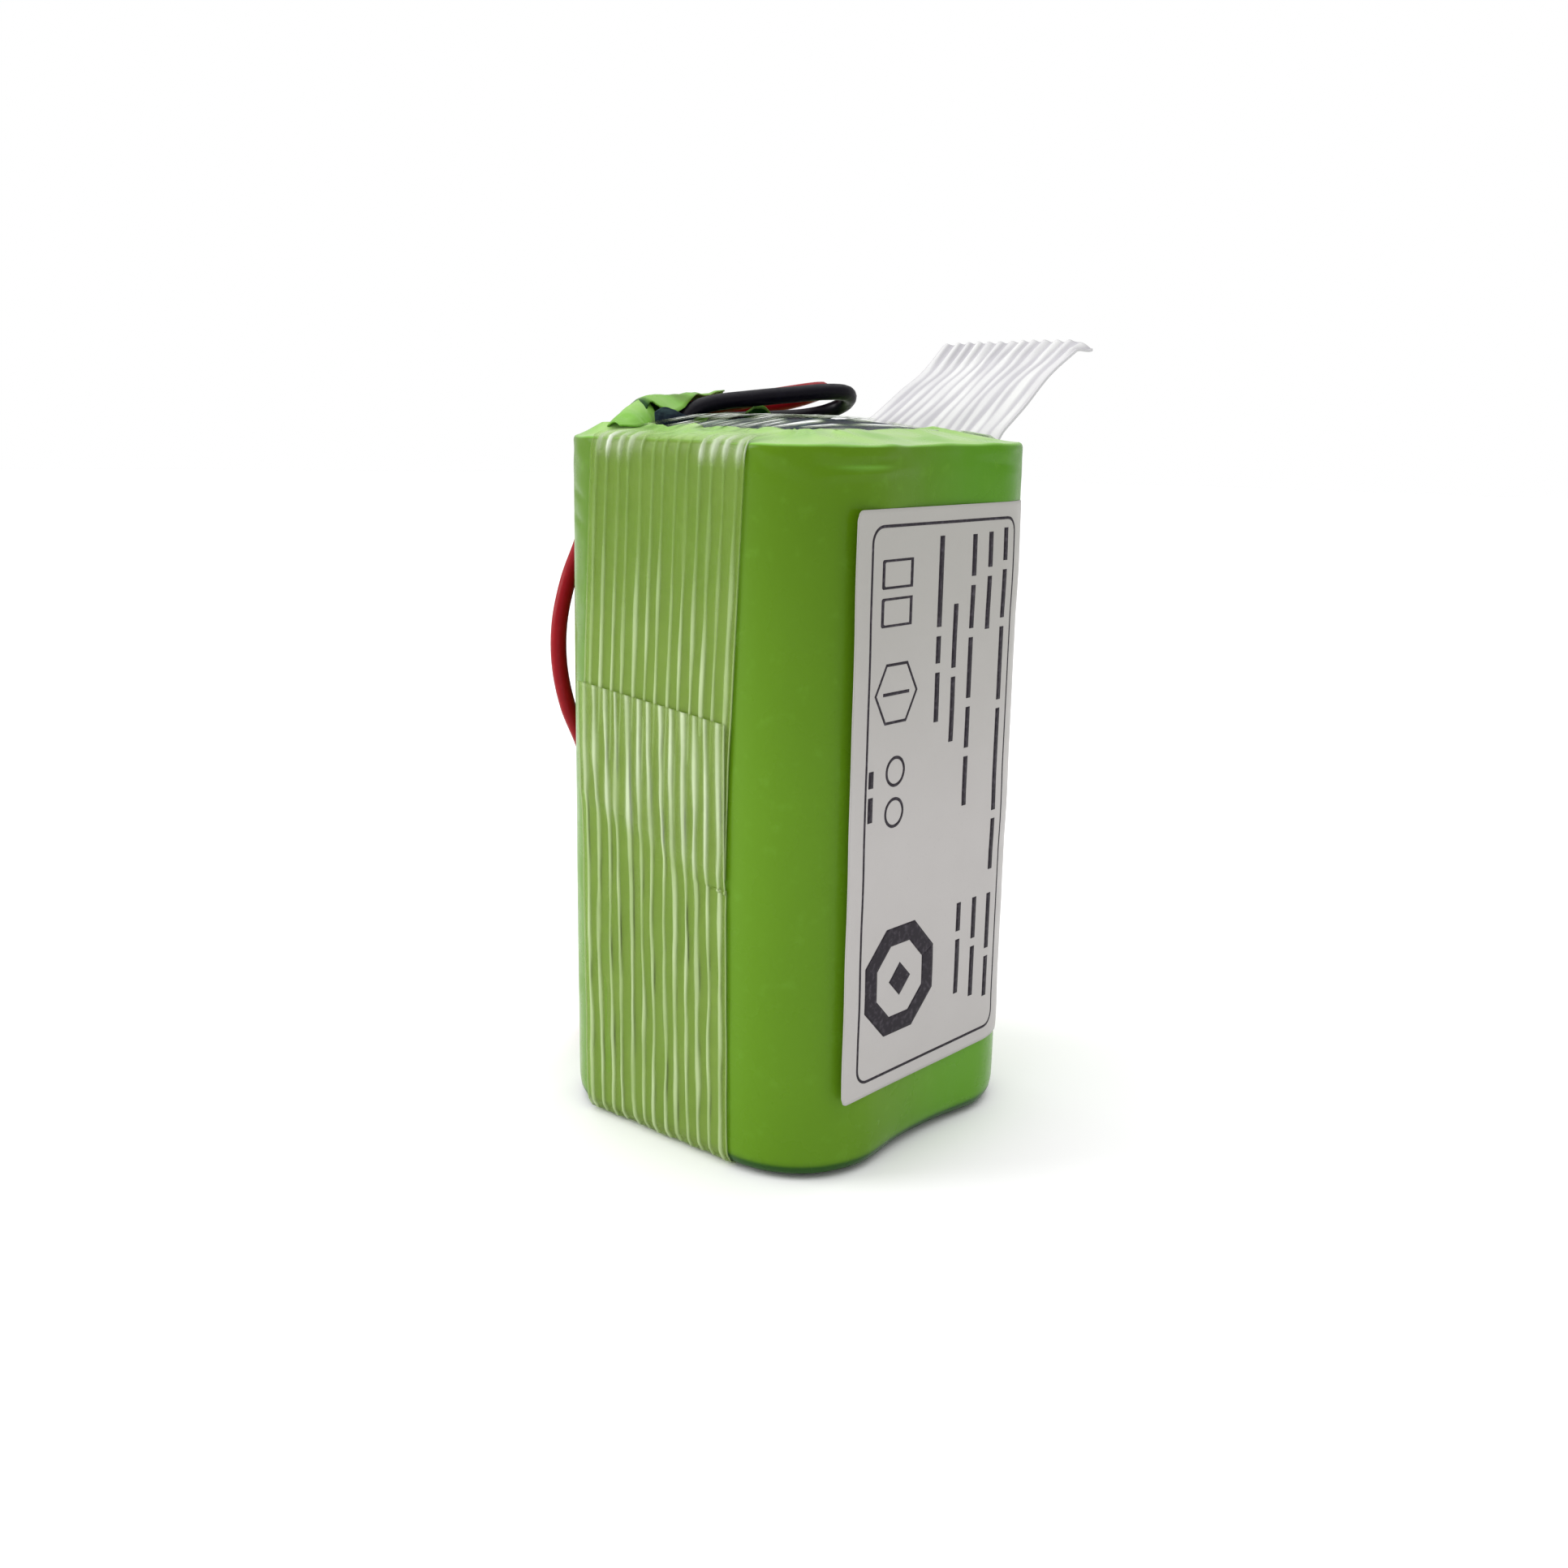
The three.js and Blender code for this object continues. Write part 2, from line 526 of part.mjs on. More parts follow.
// The tape: one strip that starts on the -X face, goes over the top, down the +X face, under the
// pack and up the -X face again, where it ends over its own start. It drifts a little sideways.
function addTape() {
  const over = TAPE_THICKNESS + GAP; // how far the outer layer stands off the inner one
  const [bottomRim, bottomEdge, bottomCurve, wallFoot, wallTop, topCurve, topEdge, topRim] =
    FILM_SURFACE;
  const domeEdge = [4.5, 72];
  const slant = 0.275; // the cut end's height gained for each millimetre across the strip
  // x, z, the strip's middle in y, and the slope of the line across the strip
  const stations = [
    [-HALF, 32.1, 2, slant],
    [-wallTop[0], wallTop[1], 0.2, 0],
    [-topCurve[0], topCurve[1], 0.15, 0],
    [-topEdge[0], topEdge[1], 0.1, 0],
    [-topRim[0], topRim[1], -0.2, 0],
    [-domeEdge[0], domeEdge[1], -0.35, 0],
    [domeEdge[0], domeEdge[1], -0.7, 0],
    [topRim[0], topRim[1], -0.9, 0],
    [topEdge[0], topEdge[1], -1.2, 0],
    [topCurve[0], topCurve[1], -1.2, 0],
    [wallTop[0], wallTop[1], -1.2, 0],
    [wallFoot[0], wallFoot[1], 0, 0],
    [bottomCurve[0], bottomCurve[1], 0, 0],
    [bottomEdge[0], bottomEdge[1], 0, 0],
    [bottomRim[0], bottomRim[1], 0.2, 0],
    [-bottomRim[0], bottomRim[1], 1.2, 0],
    [-bottomEdge[0], bottomEdge[1], 1.4, 0],
    [-bottomCurve[0], bottomCurve[1], 1.4, 0],
    [-wallFoot[0], wallFoot[1], 1.4, 0],
    [-HALF, 30.2, 1.9, slant],
    [-HALF - over, 31.6, 1.9, slant],
    [-HALF - over, 45.2, 2.1, 0.084],
  ];
  const surface = stations.map(([x, z]) => [x, z]);
  const middle = offsetPath(surface, GAP + TAPE_THICKNESS / 2);
  const grid = middle.map(([x, z], i) => {
    const [, , centreY, slope] = stations[i];
    return [-1, 0, 1].map((side) => {
      const across = (side * TAPE_WIDTH) / 2;
      return new THREE.Vector3(x, centreY + across, z + across * slope);
    });
  });
  add("tape_strip", sheet(grid, TAPE_THICKNESS), CLEAR_TAPE);
}

// The pull tab: the strip's doubled stretch, which stands out from the top edge of the +X face.
// Its two long edges rise differently, so that it is a little twisted.
function addPullTab() {
  const edge = (points, y) => {
    const curve = new THREE.CatmullRomCurve3(points.map(([x, z]) => new THREE.Vector3(x, y, z)));
    return curve.getSpacedPoints(10);
  };
  const front = edge(TAB_FRONT_EDGE, TAB_CENTRE_Y - TAPE_WIDTH / 2);
  const back = edge(TAB_BACK_EDGE, TAB_CENTRE_Y + TAPE_WIDTH / 2);
  const columns = 6;
  const grid = front.map((point, i) => {
    const row = [];
    for (let j = 0; j <= columns; j++) row.push(point.clone().lerp(back[i], j / columns));
    return row;
  });
  add("pull_tab", sheet(grid, TAB_THICKNESS), TAB_TAPE);
}

// The two leads, each a round tube along its route.
function addLeads() {
  for (const [name, route, leadMaterial] of [
    ["lead_black", BLACK_ROUTE, BLACK_LEAD],
    ["lead_red", RED_ROUTE, RED_LEAD],
  ]) {
    const points = route.map((point) => new THREE.Vector3(...point));
    const path = new THREE.CatmullRomCurve3(points, false, "centripetal");
    const section = new THREE.Shape();
    for (let side = 0; side < LEAD_SIDES; side++) {
      const angle = (side * 2 * Math.PI) / LEAD_SIDES;
      const corner = [Math.cos(angle), Math.sin(angle)].map((v) => (v * LEAD_DIAMETER) / 2);
      if (side === 0) section.moveTo(...corner);
      else section.lineTo(...corner);
    }
    const options = { steps: LEAD_STEPS, extrudePath: path, bevelEnabled: false };
    add(name, outward(new THREE.ExtrudeGeometry(section, options)), leadMaterial);
  }
}

// The connector: a nylon body with two square silos and a bore through each, a contact in each
// bore, and a latch lever that rocks on a fulcrum on the body's top.
function addConnector() {
  const c = CONNECTOR;
  const shoulderX = c.rearX + c.bodyLength;
  const frontX = shoulderX + c.siloLength;
  const ways = [c.centreY - c.pitch / 2, c.centreY + c.pitch / 2];
  const square = (x0, x1, y, size, height) =>
    box([x0, y - size / 2, c.wayZ - height / 2], [x1, y + size / 2, c.wayZ + height / 2]);
  const body = box(
    [c.rearX, c.centreY - c.width / 2, 0],
    [shoulderX, c.centreY + c.width / 2, c.height],
  );
  const silos = ways.map((y) => square(shoulderX - 0.5, frontX, y, c.siloSize, c.siloHeight));
  const fulcrumX = 11.9;
  const fulcrum = box(
    [fulcrumX - 0.7, c.centreY - 1.8, c.height - 0.5],
    [fulcrumX + 0.7, c.centreY + 1.8, c.height + 0.85],
  );
  const bores = ways.map((y) => square(c.rearX - 1, frontX + 1, y, c.boreSize, c.boreSize));
  add("connector_housing", cut(join(body, ...silos, fulcrum), ...bores), NYLON);

  ["contact_black", "contact_red"].forEach((name, i) => {
    add(name, square(c.rearX + 2.3, frontX - 1.5, ways[i], 1.6, 1.6), TINNED);
  });

  const leverLow = c.height + 1.15;
  const lever = box([7.2, c.centreY - 1.6, leverLow], [19.8, c.centreY + 1.6, leverLow + 0.85]);
  const hook = box([19, c.centreY - 1.6, leverLow - 0.55], [19.8, c.centreY + 1.6, leverLow + 0.4]);
  add("latch_lever", join(lever, hook), NYLON);
}

addCells();
addNickel();
addSenseWires();
addPapers();
addBoard();
addCover();
addFilm();
addFlap();
addLabel();
addTape();
addPullTab();
addLeads();
addConnector();

export default pack;
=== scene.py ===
import math

import bpy
import numpy as np
from mathutils import Matrix, Vector


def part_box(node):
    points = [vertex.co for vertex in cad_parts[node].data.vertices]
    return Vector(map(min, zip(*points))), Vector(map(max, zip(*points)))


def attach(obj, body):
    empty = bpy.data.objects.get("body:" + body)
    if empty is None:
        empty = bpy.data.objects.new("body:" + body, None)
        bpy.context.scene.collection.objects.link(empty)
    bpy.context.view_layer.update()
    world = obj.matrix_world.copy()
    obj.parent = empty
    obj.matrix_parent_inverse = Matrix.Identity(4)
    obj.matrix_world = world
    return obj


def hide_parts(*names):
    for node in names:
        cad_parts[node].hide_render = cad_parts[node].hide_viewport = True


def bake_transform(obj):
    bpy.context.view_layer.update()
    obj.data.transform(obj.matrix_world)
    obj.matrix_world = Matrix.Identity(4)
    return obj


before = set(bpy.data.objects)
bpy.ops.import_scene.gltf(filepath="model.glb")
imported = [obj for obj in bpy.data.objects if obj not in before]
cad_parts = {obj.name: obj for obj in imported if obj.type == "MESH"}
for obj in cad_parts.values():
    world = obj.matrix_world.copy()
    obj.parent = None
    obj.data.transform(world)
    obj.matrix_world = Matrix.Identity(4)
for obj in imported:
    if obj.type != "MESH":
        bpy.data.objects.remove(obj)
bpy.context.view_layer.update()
scene = bpy.context.scene

# ---- driving dimensions, in mm

MM = 0.001  # one millimetre in Blender's metres
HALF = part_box("shrink_film")[1].x / MM  # half the pack's width
RIM_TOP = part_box("shrink_film")[1].z / MM  # the film's folded rim
FILM_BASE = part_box("shrink_film")[0].z / MM
EDGE_TOP = 70.0  # the sharp top edge of the film
CELL_OFFSET = 9.25  # from the pack's middle to a cell's axis
FILM_WALL = 0.3
TAPE_WIDTH = 20.0
TAPE_WALL = 0.12
TAPE_GAP = 0.07  # between the film and the tape
TAPE_RIBS = 13  # bundles of filaments across the tape
RIB_PITCH = TAPE_WIDTH / TAPE_RIBS
TAB_LENGTH = 20.0
TAB_WALL = 0.26
LABEL_FACE = -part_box("label")[0].y / MM
LABEL_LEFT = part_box("label")[0].x / MM
LABEL_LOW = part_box("label")[0].z / MM
LABEL_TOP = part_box("label")[1].z / MM
LABEL_TURN = math.radians(30)  # how far it runs round the corner
LABEL_CORNER = 0.9  # the radius of its corners
LABEL_WALL = 0.1
INK_WALL = 0.02
FLAP_WALL = 0.16
LEAD_DIAMETER = 1.7

# The leads' centre lines, from the board's solder joints to the connector.
BLACK_ROUTE = [
    (-6.3, 10.6, 69.0), (-6.3, 10.7, 70.1), (-5.8, 10.9, 71.4), (-4.2, 11.0, 72.5),
    (-1.6, 10.6, 73.25), (2.2, 8.9, 73.8), (6.0, 6.2, 74.3), (9.2, 4.3, 74.65), (11.8, 3.8, 74.6),
    (13.9, 4.9, 74.1), (15.1, 6.8, 73.3), (14.7, 8.9, 72.5), (12.9, 10.6, 72.0),
    (10.4, 11.8, 71.8), (7.4, 13.1, 71.65), (4.5, 14.8, 71.5), (1.8, 16.9, 71.45),
    (-0.7, 19.0, 70.9), (-2.7, 20.4, 69.2), (-4.2, 20.9, 66.6), (-5.4, 21.0, 63.8),
    (-7.5, 20.9, 58.6), (-9.3, 20.9, 53.0), (-9.8, 20.8, 47.5), (-9.2, 20.8, 42.0),
    (-7.6, 20.9, 35.5), (-5.7, 21.1, 28.0), (-4.7, 21.6, 19.0), (-4.1, 22.6, 10.5),
    (-3.0, 24.4, 4.6), (-0.8, 26.1, 1.7), (2.4, 26.9, 1.6), (5.6, 27.0, 2.6), (8.3, 27.0, 2.8),
]
RED_ROUTE = [
    (-8.6, 10.6, 69.0), (-8.6, 10.7, 70.1), (-8.0, 11.5, 71.4), (-4.8, 13.2, 72.3),
    (0.2, 12.6, 72.95), (4.2, 10.3, 73.7), (7.6, 8.3, 74.35), (10.6, 7.3, 74.8), (13.3, 8.1, 74.9),
    (14.8, 10.3, 74.5), (14.3, 12.6, 73.8), (12.2, 14.3, 73.2), (9.0, 15.8, 72.85),
    (6.0, 17.3, 72.7), (3.0, 19.0, 72.5), (0.0, 20.7, 71.9), (-3.0, 21.9, 70.3),
    (-5.4, 22.4, 67.6), (-7.6, 22.5, 63.2), (-9.9, 21.4, 59.0), (-12.4, 20.9, 55.0),
    (-13.8, 20.8, 50.6), (-13.9, 20.8, 46.2), (-12.8, 20.8, 41.6), (-10.6, 20.8, 37.0),
    (-8.4, 20.9, 30.6), (-7.1, 21.3, 22.4), (-6.5, 22.4, 13.5), (-5.4, 25.0, 6.0),
    (-2.8, 28.5, 2.0), (0.6, 30.7, 1.3), (3.8, 31.2, 2.2), (6.0, 31.2, 2.7), (8.3, 31.2, 2.8),
]


# ---- camera

def add_camera():
    """The photograph's viewpoint: a pinhole in front of the edge between the tape and the label."""
    place = Vector((-128.308, -109.025, 73.65)) * MM
    yaw, pitch, roll = [math.radians(turn) for turn in (40.651, 13.157, 1.101)]
    level = Vector((math.cos(yaw), math.sin(yaw), 0))
    forward = level * math.cos(pitch) - Vector((0, 0, math.sin(pitch)))
    right = Vector((math.sin(yaw), -math.cos(yaw), 0))
    up = right.cross(forward)
    across = right * math.cos(roll) + up * math.sin(roll)
    upward = up * math.cos(roll) - right * math.sin(roll)
    camera = bpy.data.objects.new("camera", bpy.data.cameras.new("camera"))
    scene.collection.objects.link(camera)
    camera.data.sensor_width = 36
    camera.data.lens = 37.627
    camera.data.clip_start = 0.01
    turned = Matrix((across, upward, -forward)).transposed()
    camera.matrix_world = Matrix.LocRotScale(place, turned, None)
    scene.camera = camera


add_camera()


# ---- procedural materials

class Look:
    """A Principled material, built of the few kinds of node that the looks need."""

    def __init__(self, name, color, roughness, **sockets):
        self.material = bpy.data.materials.new(name)
        self.material.use_nodes = True
        self.tree = self.material.node_tree
        self.shader = self.tree.nodes["Principled BSDF"]
        self.set("Base Color", (*color, 1))
        self.set("Roughness", roughness)
        for socket, value in sockets.items():
            self.set(socket.replace("_", " "), value)

    def set(self, socket, value):
        """Sets one of the shader's inputs."""
        self.join(value, self.shader.inputs[socket])

    def join(self, value, target):
        """Gives an input a constant or a node's output."""
        if isinstance(value, bpy.types.NodeSocket):
            self.tree.links.new(value, target)
        else:
            target.default_value = value

    def node(self, kind, inputs=(), **settings):
        """A new node with these settings, its inputs named or numbered."""
        made = self.tree.nodes.new(kind)
        for key, value in settings.items():
            setattr(made, key, value)
        for key, value in dict(inputs).items():
            self.join(value, made.inputs[key])
        return made

    def place(self, stretch=(1, 1, 1)):
        """The point in the shared frame in metres, scaled along each axis."""
        coordinates = self.node("ShaderNodeTexCoord").outputs["Object"]
        return self.node("ShaderNodeMapping", {"Vector": coordinates, "Scale": stretch}).outputs[0]

    def noise(self, size, detail=3.0, stretch=(1, 1, 1)):
        """Noise whose features are about size mm across."""
        settings = {"Vector": self.place(stretch), "Scale": 1 / (size * MM), "Detail": detail}
        return self.node("ShaderNodeTexNoise", settings).outputs[0]

    def axis(self, index):
        """The point's x, y or z in metres."""
        return self.node("ShaderNodeSeparateXYZ", {"Vector": self.place()}).outputs[index]

    def attribute(self, name):
        """A number that the mesh carries at each of its points."""
        return self.node("ShaderNodeAttribute", attribute_name=name).outputs["Fac"]

    def spread(self, value, low, high, to_low=0.0, to_high=1.0):
        """The value's stretch from low to high, mapped smoothly from to_low to to_high."""
        inputs = {0: value, 1: low, 2: high, 3: to_low, 4: to_high}
        made = self.node("ShaderNodeMapRange", inputs, interpolation_type="SMOOTHSTEP")
        return made.outputs[0]

    def maths(self, operation, first, second):
        """The sum, held between 0 and 1, or the product of two numbers."""
        made = self.node("ShaderNodeMath", {0: first, 1: second}, operation=operation)
        made.use_clamp = operation == "ADD"
        return made.outputs[0]

    def blend(self, factor, first, second):
        """The first colour where the factor is 0 and the second where it is 1."""
        made = self.node("ShaderNodeMix", data_type="RGBA")
        for key, value in ((0, factor), (6, first), (7, second)):
            self.join((*value, 1) if isinstance(value, tuple) else value, made.inputs[key])
        return made.outputs[2]

    def dull(self, size, detail, low, high):
        """Roughness that goes from low to high in patches of about size mm."""
        self.set("Roughness", self.spread(self.noise(size, detail), 0.3, 0.7, low, high))

    def bump(self, height, depth):
        """Relief of the given depth in mm where the height goes from 0 to 1."""
        inputs = {"Height": height, "Distance": depth * MM, "Strength": 1.0}
        self.set("Normal", self.node("ShaderNodeBump", inputs).outputs[0])


def film_look():
    """Glossy green shrink film: greener towards +X, paler by thin_and_lit where the film is sheer and
    painted light falls, and nearly black by painted_shade.
    """
    look = Look("green_film", (0.1, 0.22, 0.01), 0.3, Specular_IOR_Level=0.16)
    lower = look.blend(look.noise(14), (0.097, 0.221, 0.003), (0.110, 0.247, 0.006))
    upper = look.blend(look.noise(14), (0.078, 0.176, 0.001), (0.091, 0.202, 0.003))
    height = look.spread(look.axis(2), 0.03, 0.067)
    greener_right = look.blend(height, (0.098, 0.284, 0.005), (0.073, 0.228, 0.002))
    sideways = look.spread(look.axis(0), -0.010, 0.006)
    body = look.blend(sideways, look.blend(height, lower, upper), greener_right)
    mottled = look.blend(look.spread(look.noise(1.6, 5), 0.55, 0.8, 0, 0.2), body, (0.15, 0.34, 0.03))
    thin_and_lit = look.attribute("thin_and_lit")
    # Paler where thin_and_lit: partly sheer film, partly painted light.
    lit = look.blend(look.spread(thin_and_lit, 0, 0.5), mottled, (0.185, 0.43, 0.055))
    paler = look.blend(look.spread(thin_and_lit, 0.5, 1), lit, (0.34, 0.545, 0.17))
    # Painted shade: nearly black green where painted_shade is set.
    look.set("Base Color", look.blend(look.attribute("painted_shade"), paler, (0.004, 0.05, 0.002)))
    look.dull(5, 4, 0.2, 0.36)
    look.bump(look.noise(2.2, 3, (1, 1, 0.35)), 0.04)
    return look.material


def tape_look():
    """Filament tape: pale bundles in a hazy film, clearer on top, and whitish where it has lifted and where
    glints are painted.
    """
    look = Look("clear_tape", (0.3, 0.38, 0.15), 0.3, Specular_IOR_Level=0.16)
    rib, air_and_glints, height = look.attribute("rib"), look.attribute("air_and_glints"), look.axis(2)
    strand = look.blend(look.spread(height, 0.047, 0.066), (0.455, 0.562, 0.29), (0.25, 0.385, 0.095))
    clear = look.blend(look.noise(3, 4), (0.235, 0.37, 0.055), (0.275, 0.41, 0.075))
    # Dark olive lines beside the bundles: painted shadow of their ridges.
    glued = look.blend(look.attribute("line"), look.blend(rib, clear, strand), (0.04, 0.06, 0.015))
    # Whitish where air_and_glints: lifted tape, and painted glints and reflections.
    look.set("Base Color", look.blend(air_and_glints, glued, (0.84, 0.86, 0.84)))
    on_face = look.spread(height, 0.0700, 0.0707, 1, 0)
    grain = look.spread(look.noise(0.5, 4, (1, 1, 0.12)), 0.35, 0.65, 0.75, 1.0)
    density = look.spread(height, 0.047, 0.066, 0.5, 0.22)
    packed = look.maths("MULTIPLY", density, look.maths("ADD", on_face, 0.1))
    bundles = look.maths("MULTIPLY", look.maths("MULTIPLY", rib, packed), grain)
    cloud = look.maths("MULTIPLY", air_and_glints, look.spread(look.noise(0.9, 4), 0.25, 0.55, 0.6, 0.95))
    film = look.maths("MULTIPLY", on_face, look.spread(look.noise(4, 4), 0.3, 0.7, 0.34, 0.42))
    haze = look.maths("MULTIPLY", film, look.spread(height, 0.047, 0.062, 1, 0.65))
    # The painted shadow lines are made more opaque too.
    dark = look.maths("MULTIPLY", look.attribute("line"), 0.4)
    look.set("Alpha", look.maths("ADD", look.maths("ADD", bundles, cloud), look.maths("ADD", haze, dark)))
    look.bump(look.noise(0.6, 3, (1, 1, 0.1)), 0.03)
    return look.material


def tab_look():
    """The same tape doubled on itself: milky white, with its bundles as paler ribs."""
    look = Look("tab_tape", (0.8, 0.8, 0.8), 0.4, Specular_IOR_Level=0.2)
    groove = look.blend(look.noise(2.5, 4, (0.4, 1, 0.4)), (0.37, 0.36, 0.385), (0.48, 0.47, 0.50))
    strand = look.blend(look.noise(1.8, 4, (0.4, 1, 0.4)), (0.61, 0.61, 0.61), (0.70, 0.70, 0.695))
    look.set("Base Color", look.blend(look.attribute("rib"), groove, strand))
    look.dull(2, 3, 0.34, 0.46)
    look.bump(look.noise(1.5, 3), 0.02)
    return look.material


def label_look():
    """A satin silver-grey label, a little warmer and lighter low down."""
    look = Look("label_film", (0.44, 0.43, 0.42), 0.45, Specular_IOR_Level=0.3)
    lower = look.blend(look.noise(16, 3), (0.455, 0.435, 0.425), (0.485, 0.465, 0.455))
    upper = look.blend(look.noise(12, 3), (0.375, 0.365, 0.34), (0.405, 0.395, 0.37))
    cloud = look.blend(look.spread(look.axis(2), 0.028, 0.062), lower, upper)
    speck = look.spread(look.noise(0.35, 2), 0.6, 0.75, 0, 0.12)
    look.set("Base Color", look.blend(speck, cloud, (0.3, 0.29, 0.28)))
    look.dull(3, 4, 0.4, 0.52)
    look.bump(look.noise(1.2, 3), 0.01)
    return look.material


def ink_look(name, color):
    """Printed ink, a little uneven."""
    look = Look(name, color, 0.5, Specular_IOR_Level=0.1)
    worn = tuple(min(1, c * 2.0 + 0.015) for c in color)
    look.set("Base Color", look.blend(look.spread(look.noise(0.5, 4), 0.45, 0.75), color, worn))
    return look.material


def cover_look():
    """The blue-black insulating sheet over the board, with dull scuffs."""
    look = Look("dark_cover", (0.02, 0.03, 0.045), 0.55, Specular_IOR_Level=0.04)
    scuffs = look.spread(look.noise(0.9, 5, (0.15, 1, 1)), 0.5, 0.75)
    look.set("Base Color", look.blend(scuffs, (0.012, 0.02, 0.034), (0.06, 0.10, 0.11)))
    look.set("Roughness", look.spread(scuffs, 0, 1, 0.3, 0.6))
    look.bump(look.noise(1.5, 4, (0.3, 1, 1)), 0.08)
    return look.material


def lead_look(name, color, sheen_and_scuffs):
    """Soft insulation with a satin skin and lighter patches along it: faint scuffs and a painted sheen."""
    look = Look(name, color, 0.42, Specular_IOR_Level=0.12)
    # Lighter patches: partly scuffs, partly a painted sheen.
    scuffs = look.spread(look.noise(1.1, 5), 0.5, 0.8, 0, 0.6)
    look.set("Base Color", look.blend(scuffs, color, sheen_and_scuffs))
    look.dull(0.7, 3, 0.32, 0.48)
    look.bump(look.noise(0.5, 3), 0.02)
    return look.material


def paper_look(name, color, fibre):
    """Insulating paper with lighter fibres."""
    look = Look(name, color, 0.85)
    strands = look.spread(look.noise(0.5, 6, (1, 0.25, 1)), 0.45, 0.7)
    look.set("Base Color", look.blend(strands, color, fibre))
    look.bump(look.noise(0.3, 5), 0.04)
    return look.material


def metal_look(name, color, roughness, brushed=(1, 1, 1)):
    """Bare metal with brushing or a drawn grain, and dull stains."""
    look = Look(name, color, roughness, Metallic=1.0)
    dull = tuple(c * 0.72 for c in color)
    look.set("Base Color", look.blend(look.spread(look.noise(2.5, 5), 0.45, 0.75), color, dull))
    grain = look.noise(0.25, 4, brushed)
    look.set("Roughness", look.spread(grain, 0.3, 0.7, roughness * 0.75, roughness * 1.35))
    look.bump(grain, 0.01)
    return look.material


def plastic_look(name, color, roughness, relief=0.015):
    """Moulded plastic: slight flow marks and a fine eroded skin."""
    look = Look(name, color, roughness, Coat_Weight=0.1)
    flow = tuple(min(1, c * 1.15 + 0.01) for c in color)
    look.set("Base Color", look.blend(look.noise(3, 4, (1, 1, 0.4)), color, flow))
    look.dull(0.8, 4, roughness * 0.85, roughness * 1.2)
    look.bump(look.noise(0.3, 4), relief)
    return look.material


def foil_look():
    """The wound electrodes: copper and aluminium foil edges between dark coatings."""
    look = Look("electrode_foil", (0.1, 0.09, 0.09), 0.5, Metallic=0.6)
    turns = look.node(
        "ShaderNodeTexWave",
        {"Vector": look.place(), "Scale": 900.0, "Distortion": 1.5},
        wave_type="RINGS",
        rings_direction="Z",
    ).outputs["Fac"]
    look.set("Base Color", look.blend(turns, (0.05, 0.05, 0.055), (0.42, 0.25, 0.16)))
    look.bump(turns, 0.03)
    return look.material


def board_look():
    """Green solder mask with a glassy skin over traces."""
    look = Look("circuit_board", (0.02, 0.14, 0.05), 0.35, Coat_Weight=0.4)
    cells = look.node(
        "ShaderNodeTexVoronoi",
        {"Vector": look.place((1, 1, 0.1)), "Scale": 420.0},
        feature="DISTANCE_TO_EDGE",
    ).outputs["Distance"]
    traces = look.spread(cells, 0.04, 0.09)
    look.set("Base Color", look.blend(traces, (0.05, 0.26, 0.09), (0.015, 0.12, 0.04)))
    look.bump(traces, 0.03)
    return look.material


GREEN_FILM = film_look()
CLEAR_TAPE = tape_look()
TAB_TAPE = tab_look()
LABEL_FILM = label_look()
DARK_INK = ink_look("dark_ink", (0.022, 0.018, 0.024))
DARK_COVER = cover_look()
INSULATING_PAPER = paper_look("insulating_paper", (0.27, 0.31, 0.27), (0.42, 0.46, 0.4))
LEAD_BLACK = lead_look("lead_black", (0.003, 0.002, 0.006), (0.008, 0.007, 0.014))
LEAD_RED = lead_look("lead_red", (0.26, 0.003, 0.008), (0.33, 0.008, 0.014))


# ---- mesh helpers

WAVE_COUNT = 7  # plane waves in one set of ripples
CURVE_STEPS = 24  # points on a smooth line between two of those given


def waves(points, size, seed):
    """Smooth ripples of about -1 to 1, about size mm long, at points of any dimension."""
    random = np.random.default_rng(seed)
    points = np.asarray(points, float)
    total = np.zeros(points.shape[:-1])
    for _ in range(WAVE_COUNT):
        direction = random.normal(size=points.shape[-1])
        direction *= 2 * math.pi / (size * random.uniform(0.7, 1.6)) / np.linalg.norm(direction)
        total += np.sin(points @ direction + random.uniform(0, 2 * math.pi))
    return total / math.sqrt(WAVE_COUNT)


def bell(value, centre, width):
    """1 at the centre, falling smoothly to 0 about two widths away."""
    return np.exp(-(((value - centre) / width) ** 2))


def step(value, low, high):
    """0 below low, 1 above high and smooth between them."""
    t = np.clip((value - low) / (high - low), 0, 1)
    return t * t * (3 - 2 * t)


def grid_faces(rows, columns, wrap=False):
    """Quads over a grid of points; wrap joins the last column to the first."""
    faces = []
    for r in range(rows - 1):
        for c in range(columns if wrap else columns - 1):
            d = (c + 1) % columns
            faces.append((r * columns + c, r * columns + d, (r + 1) * columns + d, (r + 1) * columns + c))
    return faces


def closed_faces(grid):
    """Quads over rings of points, and a last face that closes the innermost ring."""
    rows, columns = grid.shape[:2]
    last = (rows - 1) * columns
    return [*grid_faces(rows, columns, wrap=True), tuple(last + c for c in range(columns))]


def grid_normals(grid, wrap=False):
    """The unit normals of a grid of points, on the side that its quads face."""
    along = np.gradient(grid, axis=0)
    if wrap:
        across = (np.roll(grid, -1, 1) - np.roll(grid, 1, 1)) / 2
    else:
        across = np.gradient(grid, axis=1)
    normals = np.cross(across, along)
    return normals / np.maximum(np.linalg.norm(normals, axis=2, keepdims=True), 1e-9)


